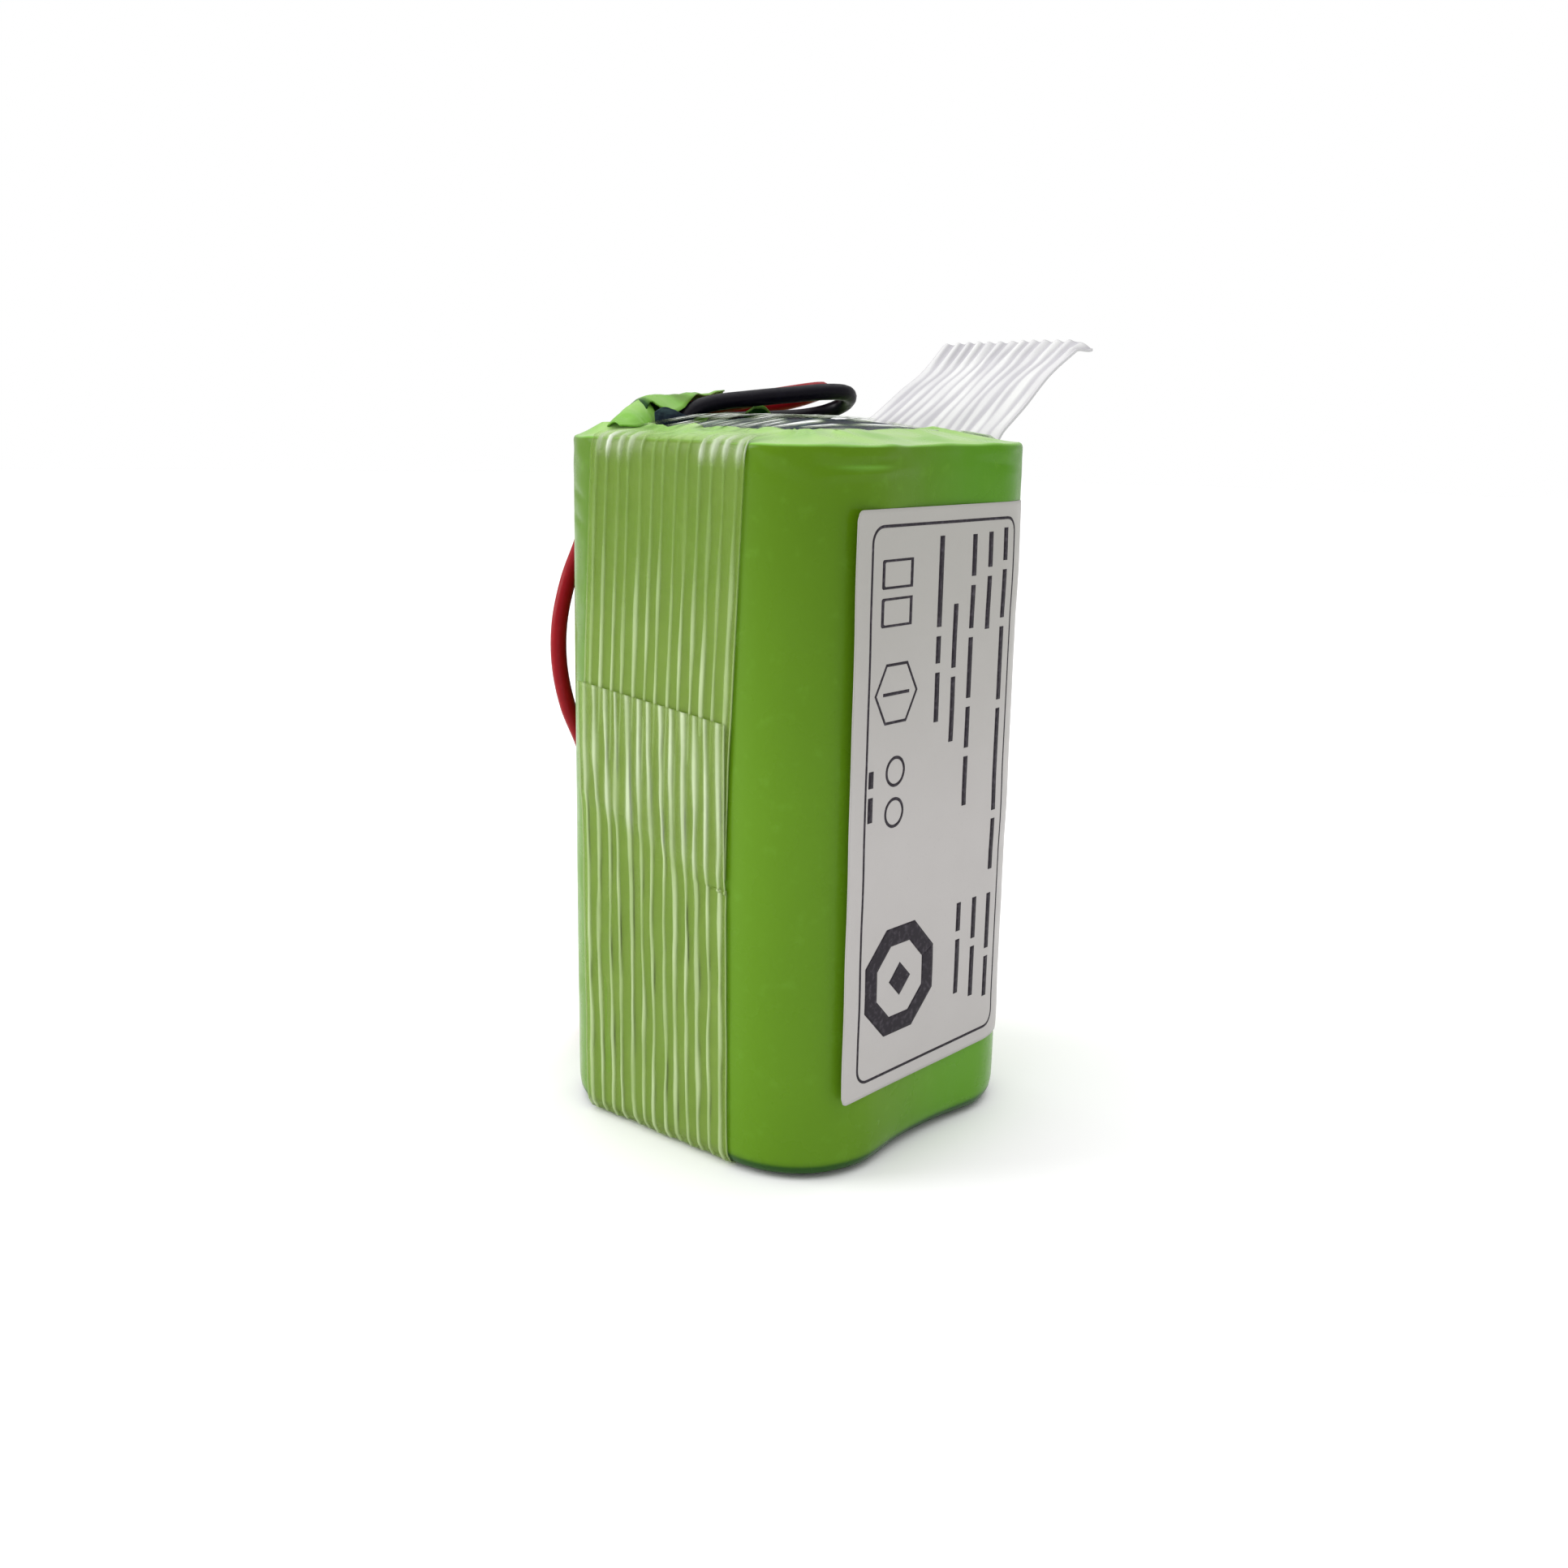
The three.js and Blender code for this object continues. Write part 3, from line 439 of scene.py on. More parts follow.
def smooth_line(points, spacing):
    """Points a spacing apart along the centripetal Catmull-Rom curve through the given ones."""
    points = np.asarray(points, float)
    ends = [2 * points[0] - points[1], *points, 2 * points[-1] - points[-2]]
    line = []
    for p0, p1, p2, p3 in zip(ends, ends[1:], ends[2:], ends[3:]):
        t0, t1 = 0.0, math.sqrt(np.linalg.norm(p1 - p0))
        t2 = t1 + math.sqrt(np.linalg.norm(p2 - p1))
        t3 = t2 + math.sqrt(np.linalg.norm(p3 - p2))
        for t in np.linspace(t1, t2, CURVE_STEPS, endpoint=False):
            a1 = (p0 * (t1 - t) + p1 * (t - t0)) / (t1 - t0)
            a2 = (p1 * (t2 - t) + p2 * (t - t1)) / (t2 - t1)
            a3 = (p2 * (t3 - t) + p3 * (t - t2)) / (t3 - t2)
            b1 = (a1 * (t2 - t) + a2 * (t - t0)) / (t2 - t0)
            b2 = (a2 * (t3 - t) + a3 * (t - t1)) / (t3 - t1)
            line.append((b1 * (t2 - t) + b2 * (t - t1)) / (t2 - t1))
    return resampled(np.array([*line, points[-1]]), spacing)


def resampled(line, spacing):
    """Points a spacing apart along a polyline, its ends included."""
    lengths = np.concatenate([[0], np.cumsum(np.linalg.norm(np.diff(line, axis=0), axis=1))])
    count = max(2, round(lengths[-1] / spacing) + 1)
    at = np.linspace(0, lengths[-1], count)
    return np.stack([np.interp(at, lengths, column) for column in line.T], axis=1)


def shared_out(line, count):
    """That many points at even shares of a line's own points."""
    at, own = np.linspace(0, 1, count), np.linspace(0, 1, len(line))
    return np.stack([np.interp(at, own, column) for column in line.T], axis=1)


def add_piece(name, points, faces, material, replaces, wall, attributes=None, rides=True):
    """A surface in mm made into a solid of the given wall; all but the pull tab ride on the pack."""
    mesh = bpy.data.meshes.new(name)
    mesh.from_pydata((np.asarray(points, float).reshape(-1, 3) * MM).tolist(), [], faces)
    mesh.materials.append(material)
    for key, values in (attributes or {}).items():
        layer = mesh.attributes.new(key, "FLOAT", "POINT")
        layer.data.foreach_set("value", np.asarray(values, np.float32).ravel())
    mesh.shade_smooth()
    piece = bpy.data.objects.new(name, mesh)
    scene.collection.objects.link(piece)
    solid = piece.modifiers.new("wall", "SOLIDIFY")
    solid.thickness = wall * MM
    solid.offset = -1
    if replaces:
        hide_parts(*replaces)
    if rides:
        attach(piece, "pack")
    return piece


# ---- leads

LEAD_SPACING = 0.7  # between the points of a lead's centre line


def add_lead(color, route, material):
    """One lead, as a round cord along its route."""
    line = smooth_line(route, LEAD_SPACING)
    curve = bpy.data.curves.new(f"wire_{color}", "CURVE")
    curve.dimensions = "3D"
    curve.bevel_depth = LEAD_DIAMETER / 2 * MM
    curve.bevel_resolution = 5
    curve.use_fill_caps = True
    spline = curve.splines.new("POLY")
    spline.points.add(len(line) - 1)
    for point, place in zip(spline.points, line):
        point.co = (*(place * MM), 1)
    spline.use_smooth = True
    curve.materials.append(material)
    lead = bpy.data.objects.new(f"wire_{color}", curve)
    scene.collection.objects.link(lead)
    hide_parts(f"lead_{color}")
    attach(lead, "pack")
    tuple(c * MM for c in route[0])


add_lead("black", BLACK_ROUTE, LEAD_BLACK)
add_lead("red", RED_ROUTE, LEAD_RED)


# ---- shrink film

# The film's outer surface under its top edge: half width and height.
FILM_PROFILE = [
    (12.0, FILM_BASE), (16.6, FILM_BASE), (17.7, FILM_BASE + 0.1), (18.25, FILM_BASE + 0.42),
    (18.58, FILM_BASE + 1.0), (18.73, FILM_BASE + 2.0), (HALF, FILM_BASE + 3.2),
]
FILM_SHOULDER = [(HALF, 68.9), (18.74, 69.5), (18.66, 69.86), (18.4, EDGE_TOP)]
ARC_STEPS = 24  # columns round each corner
SIDE_STEPS = 34  # columns along each side
RIM_ROWS = 33
RIM_REACH = 10.6  # how near the pack's middle the folded rim comes
TORN_REACH = 15.9  # the same where the film is torn over the leads
# Creases above the label: depth, slope, the x it turns about, height, width, middle and reach.
LABEL_CREASES = [
    (-0.26, 0.05, -13, 68.15, 0.3, -12.5, 3.4), (0.20, 0.05, -13, 67.6, 0.4, -12.0, 3.6),
    (-0.12, -0.1, 0, 68.9, 0.25, 7.5, 4.0),
]
CORNER_DENTS = (49.5, 52.5, 56.2, 58.8, 61.5, 64.0)  # heights of the dents in the back corner


def ring_columns():
    """For each column round the pack: which corner it leans on in x and y, and its angle."""
    corners = [(1, 1), (-1, 1), (-1, -1), (1, -1)]
    columns = []
    for k, (x, y) in enumerate(corners):
        for i in range(ARC_STEPS):
            columns.append((x, y, math.pi / 2 * (k + i / ARC_STEPS)))
        next_x, next_y = corners[(k + 1) % 4]
        for i in range(SIDE_STEPS):
            t = i / SIDE_STEPS
            columns.append((x + (next_x - x) * t, y + (next_y - y) * t, math.pi / 2 * (k + 1)))
    return np.array(columns).T


def ring_points(half, height, lean_x, lean_y, angle):
    """Points of rounded squares with round corners over the cells; all inputs are arrays."""
    radius = np.minimum(np.maximum(half - CELL_OFFSET, 3), half)
    centre = half - radius
    x = lean_x * centre + radius * np.cos(angle)
    y = lean_y * centre + radius * np.sin(angle)
    return np.stack([x, y, height + 0 * x], axis=-1)


def film_rows():
    """Half widths and heights up to the top edge, closer together near both ends."""
    lower = resampled(np.array(FILM_PROFILE), 0.35)
    stretches = ((FILM_BASE + 3.9, 12, 0.7), (12, 60, 1.2), (60, 68.4, 0.35))
    wall = np.concatenate([np.arange(*stretch) for stretch in stretches])
    upper = resampled(np.array(FILM_SHOULDER), 0.22)
    return np.concatenate([lower, np.stack([np.full_like(wall, HALF), wall], 1), upper])


def rim_reach(lean_x, lean_y, angle):
    """How far in the folded rim comes: ragged all round, and torn away over the leads."""
    edge = ring_points(np.full_like(angle, HALF), 0.0, lean_x, lean_y, angle)[:, :2]
    reach = RIM_REACH + 0.9 * waves(edge, 9, 11) + 0.35 * waves(edge, 2.4, 12)
    over_leads = step(edge[:, 0], -17.5, -15.5) * (1 - step(edge[:, 0], 0, 2)) * (edge[:, 1] > 15)
    return reach + (TORN_REACH - reach) * over_leads


def film_grid():
    """The film's outer surface, and its thin_and_lit share at each point: paler on the sheer rim, with
    painted light there and a painted glint on a crease.
    """
    lean_x, lean_y, angle = ring_columns()
    rows = film_rows()
    half = np.repeat(rows[:, :1], len(angle), 1)
    height = np.repeat(rows[:, 1:], len(angle), 1)
    reach = rim_reach(lean_x, lean_y, angle)
    fold = np.linspace(0, 1, RIM_ROWS + 1)[1:, None]
    start_half, start_height = rows[-1]
    rim_half = start_half + (reach - start_half) * fold
    rim_height = start_height + (RIM_TOP - start_height) * (0.35 * fold + 0.65 * fold**1.5)
    half = np.concatenate([half, rim_half])
    height = np.concatenate([height, rim_height + 0 * rim_half])
    grid = ring_points(half, height, lean_x, lean_y, angle)
    return crumpled(grid, np.concatenate([np.zeros((len(rows), 1)), fold]), lean_x, lean_y, angle)


def waist(lean_x, lean_y):
    """For each column, 0 over the cells and 1 halfway between two of them."""
    inner = np.minimum(np.abs(lean_x), np.abs(lean_y))
    return np.where(np.abs(lean_x * lean_y) < 1, 1 - inner**2, 0) ** 1.5


def crumpled(grid, fold, lean_x, lean_y, angle):
    """The grid with the film's sag, creases and pleats; fold goes from 0 to 1 over the folded rim."""
    normals = grid_normals(grid, wrap=True)
    upright = 1 - fold
    x, y, z = grid[..., 0], grid[..., 1], grid[..., 2]
    sag = 0.16 + 0.95 * np.exp(-(z - FILM_BASE) / 2.6) + 0.25 * np.exp(-(EDGE_TOP - z) / 4)
    sagged = (sag * waist(lean_x, lean_y) * upright)[..., None] * np.stack(
        [np.cos(angle), np.sin(angle), 0 * angle], -1
    )
    push = 0.035 * waves(grid * [1, 1, 0.5], 9, 1) * upright
    push += 0.05 * waves(grid * [1, 1, 1.6], 3.5, 2) * bell(z, EDGE_TOP - 0.5, 2.4) * upright
    label_side = step(-y, 15, 18)
    for depth, slope, pivot, crease, width, middle, reach in LABEL_CREASES:
        line = bell(z - slope * (x - pivot), crease, width)
        push += depth * line * bell(x, middle, reach) * label_side * upright
    back_corner = step(-x, 9, 13) * step(y, 9, 13)
    for dent in CORNER_DENTS:
        push -= 0.16 * bell(z - 0.35 * (y - 12), dent, 0.35) * bell(y, 13.2, 1.3) * back_corner
    lift = 0.13 * waves(grid[..., :2], 2.6, 5) + 0.12 * waves(grid[..., :2], 6.5, 6)
    pleats = 0.14 * np.sin(angle * 14 + 2 * waves(grid[..., :2], 7, 8)) * step(y, 4, 8)
    corners = bell(np.abs(lean_x * lean_y), 1, 0.04)
    calm = 1 - 0.8 * np.maximum(step(-y, 8, 12), step(y, 8, 11) * step(x, 0, 3))
    lift = (lift * calm + pleats * corners) * np.sqrt(np.clip(fold, 0, 1)) * step(fold, 0.0, 0.2)
    moved = grid - sagged + normals * push[..., None]
    moved[..., 2] += lift
    # The folded rim is paler: sheer film, and painted light from above.
    ragged = 0.86 + 0.14 * np.clip(waves(grid[..., :2], 5, 9), -1, 1)
    thin_and_lit = np.clip(step(z, EDGE_TOP - 0.22, EDGE_TOP + 0.05) * ragged + 0 * x, 0, 1)
    # A painted glint along the crease above the label.
    crescent_glint = bell(z - 0.012 * (x + 12.3) ** 2, 68.0, 0.28) * bell(x, -12.3, 3.4)
    thin_and_lit = np.maximum(thin_and_lit, 0.3 * crescent_glint * label_side * upright)
    return moved, thin_and_lit


def add_film():
    """The sleeve, dark underneath where little light comes."""
    grid, thin_and_lit = film_grid()
    faces = grid_faces(*grid.shape[:2], wrap=True)
    # Painted shade: a dark band along the bottom edge, where the film turns under.
    painted_shade = 0.92 * (1 - step(grid[..., 2], FILM_BASE + 1.0, FILM_BASE + 1.6))
    add_piece(
        "film_sleeve", grid, faces, GREEN_FILM, ["shrink_film"], FILM_WALL,
        {"thin_and_lit": thin_and_lit, "painted_shade": painted_shade},
    )


# ---- the paper below and the cover above

PAPER_HALVES = [17.6, 15, 11, 7, 3]  # half widths, from its edge inwards
PAPER_WAIST = 1.2  # how far its edge comes in between two cells
COVER_HALVES = [18.3, 18.2]  # half widths of the cover's turned-down edge
COVER_FOOT = 68.0
# The cover's dome: distance from the middle, and height.
COVER_DOME = [(0, 72.0), (4.5, 71.85), (9.5, 70.95), (12, 70.2), (17.9, 69.2), (18.3, 68.6)]
LEADS_LOW, LEADS_HIGH = (-10.2, 9.4), (-2.8, 13.4)  # the corners of the opening for the leads


def add_foot_paper():
    """The paper under the cells, cut to the film's waisted outline."""
    lean_x, lean_y, angle = ring_columns()
    low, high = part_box("bottom_insulator")
    halves = np.array(PAPER_HALVES)[:, None] + 0 * angle
    grid = ring_points(halves, high.z / MM, lean_x, lean_y, angle)
    outward = np.stack([np.cos(angle), np.sin(angle), 0 * angle], -1)
    inward = PAPER_WAIST * waist(lean_x, lean_y) * (halves / PAPER_HALVES[0]) ** 2
    grid -= inward[..., None] * outward
    add_piece(
        "foot_paper", grid, closed_faces(grid), INSULATING_PAPER,
        ["bottom_insulator"], (high.z - low.z) / MM,
    )


def cover_height(x, y):
    """The cover's crumpled dome over the board."""
    out = np.maximum(np.abs(x), np.abs(y))
    dome = np.interp(out, *np.array(COVER_DOME).T)
    flat = np.stack([x * 0.35, y], axis=-1)
    return dome + 0.1 * waves(flat, 3.0, 21) * (1 - step(out, 9, 13))


def add_cover():
    """A dome that fills the film's top, open where the leads come through."""
    lean_x, lean_y, angle = ring_columns()
    halves = np.concatenate([COVER_HALVES, np.arange(17.8, 0.3, -0.45)])[:, None]
    halves = np.repeat(halves, len(angle), 1)
    grid = ring_points(halves, 0.0, lean_x, lean_y, angle)
    grid[..., 2] = cover_height(grid[..., 0], grid[..., 1])
    grid[0, :, 2] = COVER_FOOT
    points = grid.reshape(-1, 3)
    kept = []
    for face in closed_faces(grid):
        x, y = points[list(face), :2].mean(0)
        if not (LEADS_LOW[0] < x < LEADS_HIGH[0] and LEADS_LOW[1] < y < LEADS_HIGH[1]):
            kept.append(face)
    add_piece(
        "cover_sheet", points, kept, DARK_COVER, ["board_cover"], FILM_WALL
    )


# ---- tape

OUTER_END = 45.2  # where the outer layer ends on the -X face
INNER_END = 32.1  # where the strip starts under it
END_SLANT = 0.275  # the inner end's height gained for each millimetre across
LAYER = 0.22  # how far the outer layer stands off the inner one
TAPE_STEP = 0.5  # between the points along it
TAPE_COLUMNS = 201


def tape_path():
    """The strip's line round the pack: x, z, its middle in y, the slope across it, and its layer."""
    start = [(-HALF, INNER_END, 2.0, END_SLANT, 0)]
    up = [(-HALF, 40, 1.7), (-HALF, 68.6, 0.2), (-18.66, 69.4, 0.15), (-18.35, 70.0, 0.1)]
    top = [
        (-17.4, 70.35, 0.1), (-14, 70.75, -0.1), (-9.8, 71.35, -0.2), (-4.5, 72.0, -0.35),
        (0, 72.15, -0.5), (4.5, 72.0, -0.7), (9.8, 71.35, -0.9), (14, 70.75, -1.1), (17.4, 70.35, -1.2),
    ]
    down = [(18.35, 70.0, -1.2), (18.66, 69.4, -1.2), (HALF, 68.6, -1.2), (HALF, 36, -0.6)]
    foot = [
        (HALF, 3.4, 0), (18.66, 1.6, 0), (18.1, 0.5, 0), (17.0, 0.27, 0), (0, 0.25, 0.7),
        (-17.0, 0.27, 1.4), (-18.1, 0.5, 1.4), (-18.66, 1.6, 1.4),
    ]
    again = [(-HALF, 3.4, 1.4), (-HALF, 22, 1.7), (-HALF, 28.4, 1.8)]
    level = [(x, z, middle, 0, 0) for x, z, middle in up + top + down + foot + again]
    end = [
        (-HALF, 30.6, 1.9, END_SLANT, 0), (-HALF, 32.4, 1.9, END_SLANT, 1), (-HALF, 38, 2.0, 0.18, 1),
        (-HALF, OUTER_END, 2.1, 0.084, 1),
    ]
    return resampled(np.array(start + level + end), TAPE_STEP)


def rib_pattern(across, along, wander, seed, broad=1.0):
    """How much of a bundle and of the painted shadow line beside it lies at each point; bundles drift by
    wander.
    """
    random = np.random.default_rng(seed)
    pattern = 0.6 * step(np.abs(across) + 0 * along, TAPE_WIDTH / 2 - 0.2, TAPE_WIDTH / 2 - 0.1)
    dark = np.zeros_like(pattern)
    for k in range(TAPE_RIBS):
        middle = (k + 0.5) * RIB_PITCH - TAPE_WIDTH / 2 + random.uniform(-0.14, 0.14)
        width = random.uniform(0.17, 0.24) * broad
        line = np.stack([along, along * 0.3], axis=-1)
        drift = wander * (waves(line, 13, seed + 10 * k) + 0.35 * waves(line, 4.5, seed + 10 * k + 5))
        width = width * (1 + 0.25 * waves(line, 11, seed + 10 * k + 7))
        strength = 0.82 + 0.18 * waves(line, 14, seed + 10 * k + 3)
        off = across - middle - drift
        pattern = np.maximum(pattern, strength / (1 + (off / width) ** 6))
        # A painted shadow line beside each bundle, shown in stretches.
        shown = np.clip(0.8 * waves(line, 8, seed + 10 * k + 8), 0, 1)
        dark = np.maximum(dark, shown * bell(off, -1.25 * width, 0.07))
    return np.clip(pattern, 0, 1), np.clip(dark, 0, 1)


def add_tape():
    """The strip, with raised bundles, clear film between them and cloudy bends."""
    path = tape_path()
    x, z, middle, slope, layer = path.T
    line = np.stack([x, z], 1)
    heading = np.gradient(line, axis=0)
    heading /= np.linalg.norm(heading, axis=1, keepdims=True)
    outward = np.stack([-heading[:, 1], heading[:, 0]], 1)
    stand_off = TAPE_GAP + TAPE_WALL + LAYER * layer
    line = line + outward * stand_off[:, None]
    across = np.linspace(-TAPE_WIDTH / 2, TAPE_WIDTH / 2, TAPE_COLUMNS)[None, :]
    along = np.arange(len(path))[:, None] * TAPE_STEP
    low_face = (1 - step(z, 34, 52)) * (x < -HALF + 2)
    wander = (0.03 + 0.045 * low_face)[:, None]
    rib, ridge_shadow = rib_pattern(across, along + 0 * across, wander, 40)
    band, _ = rib_pattern(across, along + 0 * across, wander, 40, 2.0)
    grid = np.empty((len(path), across.size, 3))
    grid[..., 0] = line[:, :1]
    grid[..., 1] = middle[:, None] + across
    grid[..., 2] = line[:, 1:] + across * slope[:, None]
    settled = 0.9 * np.clip(line[:, 1:] - 71.0, 0, None) * step(-grid[..., 1], 4.5, 10.5)
    grid[..., 2] -= settled
    side_normals = np.stack([outward[:, 0], 0 * x, outward[:, 1]], 1)[:, None, :]
    loose = 0.05 * waves(np.stack([grid[..., 1], grid[..., 2] * 0.4], -1), 4, 33) * low_face[:, None]
    relief = 0.05 + 0.08 * step(line[:, 1:], 0.3, 1.5) * (1 - step(line[:, 1:], 70.4, 71.0))
    grid += side_normals * (relief * rib + loose)[..., None]
    faces = [face[::-1] for face in grid_faces(*grid.shape[:2])]
    air_and_glints = np.clip(tape_air_and_glints(grid, rib, band) + 0.16 * band * layer[:, None], 0, 1)
    add_piece(
        "tape_band", grid, faces, CLEAR_TAPE, ["tape_strip"], TAPE_WALL,
        {"rib": rib, "air_and_glints": air_and_glints, "line": ridge_shadow * low_face[:, None]},
    )


def tape_air_and_glints(grid, rib, band):
    """Where the tape looks white: in bands over the top edge, lifted tape with painted glints, and in
    streaks on top, painted reflections.
    """
    x, y, z = grid[..., 0], grid[..., 1], grid[..., 2]
    groups = np.maximum(step(y, 2.8, 4.0) * (1 - step(y, 8.6, 9.6)), 1 - step(y, -4.6, -3.2))
    bend = step(z, 67.4, 69.7) * (1 - step(z, 70.5, 71.0)) * groups
    uneven = np.clip(0.75 + 0.35 * waves(np.stack([y * 0.8, z * 0.5], -1), 3, 51), 0, 1)
    # Lifted tape with painted glints, in bands over the top edge.
    edge = bend * uneven * (0.12 + 0.6 * band)
    # Painted reflections in streaks along the top.
    streaks = waves(np.stack([x * 0.3, y * 1.1, 0 * z], -1), 2.6, 52)
    far = step(x, -2, 3)
    on_top = step(z, 71.0 - 0.55 * far, 71.5 - 0.6 * far)
    top = on_top * np.clip(streaks * 0.9 + 0.6, 0, 1) * step(rib, 0.03, 0.5)
    return np.clip(edge + top, 0, 1)


# ---- pull tab

TAB_FRONT_EDGE = [
    (18.9, 70.0), (19.5, 70.6), (21.5, 72.1), (23.7, 73.65), (28.1, 76.8), (31.9, 78.9), (35.6, 80.9),
]
TAB_BACK_EDGE = [
    (18.9, 70.0), (19.7, 70.5), (22.4, 71.9), (25.1, 73.35), (28.4, 75.1), (32.0, 76.95), (34.2, 78.7),
    (36.3, 80.5),
]
TAB_MIDDLE = -1.2
TAB_ROWS = 90
TAB_COLUMNS = 161


def add_tab():
    """The doubled tape: ribbed along its length, a little twisted, with a wavy folded tip."""
    front, back = [
        np.array([(x, TAB_MIDDLE + side * TAPE_WIDTH / 2, z) for x, z in edge])
        for edge, side in ((TAB_FRONT_EDGE, -1), (TAB_BACK_EDGE, 1))
    ]
    front = shared_out(smooth_line(front, 0.2), TAB_ROWS)
    back = shared_out(smooth_line(back, 0.2), TAB_ROWS)
    share = np.linspace(0, 1, TAB_ROWS)
    t = np.linspace(0, 1, TAB_COLUMNS)[None, :, None]
    grid = front[:, None, :] * (1 - t) + back[:, None, :] * t
    across = (t[..., 0] - 0.5) * TAPE_WIDTH + 0 * grid[..., 0]
    along = share[:, None] * TAB_LENGTH + 0 * across
    rib, _ = rib_pattern(across, along, 0.06, 71, 2.3)
    normals = grid_normals(grid)
    tip = step(along, TAB_LENGTH - 5.5, TAB_LENGTH - 2)
    humps = np.cos(across * 2 * math.pi / RIB_PITCH + 0.3 * waves(across[..., None], 9, 76))
    push = 0.10 * rib + 0.13 * tip * humps + 0.12 * waves(np.stack([across, along], -1), 9, 75)
    settled = step(along, 0, 2)
    grid = grid - normals * (push * settled)[..., None]
    corner = step(-across, 8.4, TAPE_WIDTH / 2) * step(along, TAB_LENGTH - 2.4, TAB_LENGTH)
    grid += corner[..., None] * np.array([0.9, -0.3, -0.9])
    faces = [face[::-1] for face in grid_faces(*grid.shape[:2])]
    tab = add_piece(
        "tape_tab", grid, faces, TAB_TAPE, ["pull_tab"], TAB_WALL, {"rib": rib}, rides=False
    )
    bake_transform(tab)


# ---- label

LABEL_COLUMNS = 120
LABEL_ROWS = 150
PRINT_STEP = 0.35  # between the points along a stroke
FRAME_STEP = 0.3  # between the points of a frame or a ring
BORDER = (-10.25, 9.9, 11.0, 61.35)  # where its corners turn about: left, right, low and top
BORDER_CORNER = 1.5  # their radius
BORDER_WIDTH = 0.27
BAR_WIDTH = 0.72
BAR_GAP = 0.9
# The rows of bars: each row's place along the label, its top, and its bars' lengths downwards.
BAR_ROWS = [
    (9.6, 61.9, (3.2, 4.8, 7.4, 10.6, 5.4)), (7.0, 61.6, (3.4, 5.2)),
    (4.25, 61.5, (4.0, 4.2, 6.0, 4.1, 5.0)), (1.5, 55.0, (6.2, 6.4)),
    (-1.15, 61.6, (8.6, 2.6, 4.8)),
    (9.6, 24.3, (6.0, 4.4)), (7.0, 24.4, (4.4, 5.4)), (4.25, 24.4, (3.0, 5.8)),
    (-11.0, 40.4, (1.6, 2.4)),
]


def label_point(along, height, proud=0.0):
    """A point of the label: millimetres along it from the pack's middle, and its height."""
    radius = LABEL_FACE - CELL_OFFSET + proud
    turn = np.clip((along - CELL_OFFSET) / (LABEL_FACE - CELL_OFFSET), 0, None)
    flat = np.minimum(along, CELL_OFFSET)
    return np.stack(
        [flat + radius * np.sin(turn), -CELL_OFFSET - radius * np.cos(turn), height + 0 * along], -1
    )


def label_relief(along, height):
    """How proud the label stands: its left edge has lifted a little and its middle ripples."""
    lift = 0.10 * bell(along, LABEL_LEFT, 0.5) + 0.05 * waves(np.stack([along, height], -1), 13, 81)
    return np.clip(lift, 0, 0.14) - 0.03


def add_label():
    """The label, with its corners rounded and its edge a little lifted."""
    right = CELL_OFFSET + LABEL_TURN * (LABEL_FACE - CELL_OFFSET)
    along = np.linspace(LABEL_LEFT, right, LABEL_COLUMNS)[None, :]
    share = np.linspace(-1, 1, LABEL_ROWS)[:, None]
    middle, reach = (LABEL_LOW + LABEL_TOP) / 2, (LABEL_TOP - LABEL_LOW) / 2
    near_end = np.minimum(along - LABEL_LEFT, right - along)
    cut = np.clip(LABEL_CORNER - near_end, 0, LABEL_CORNER)
    inset = LABEL_CORNER - np.sqrt(np.clip(LABEL_CORNER**2 - cut**2, 0, None))
    height = middle + share * (reach - inset)
    along = along + 0 * height
    grid = label_point(along, height, label_relief(along, height))
    add_piece(
        "label_sheet", grid, grid_faces(*grid.shape[:2]), LABEL_FILM, ["label"], LABEL_WALL
    )


def stroke(points, width):
    """A flat stroke along a line on the label, as a grid of points (along, height)."""
    line = resampled(np.array(points, float), PRINT_STEP)
    heading = np.gradient(line, axis=0)
    heading /= np.maximum(np.linalg.norm(heading, axis=1, keepdims=True), 1e-9)
    side = np.stack([heading[:, 1], -heading[:, 0]], 1) * width / 2
    return np.stack([line - side, line + side], axis=1)


def ring(centre, sides, reach, width, start):
    """A closed frame with that many sides, its corners at reach from the centre in x and z."""
    angles = np.radians(start + np.arange(sides + 1) * 360 / sides)
    reach = np.array(reach)
    outline = resampled(np.stack([np.cos(angles), np.sin(angles)], 1) * reach, FRAME_STEP)
    shares = np.linspace(1 - width / reach.max(), 1, max(2, round(width / FRAME_STEP) + 1))
    return np.array(centre) + outline[:, None] * shares[None, :, None]


def label_border():
    """The narrow line round the print, with rounded corners."""
    left, right, low, top = BORDER
    line = []
    for corner, (x, z) in enumerate(((right, top), (left, top), (left, low), (right, low))):
        for angle in np.radians(np.linspace(90 * corner, 90 * corner + 90, 8)):
            line.append((x + BORDER_CORNER * math.cos(angle), z + BORDER_CORNER * math.sin(angle)))
    return [*line, line[0]]


def label_bars():
    """Bars in place of the print's lines: the two ends of each."""
    for along, top, lengths in BAR_ROWS:
        for length in lengths:
            yield [(along, top), (along, top - length)]
            top -= length + BAR_GAP


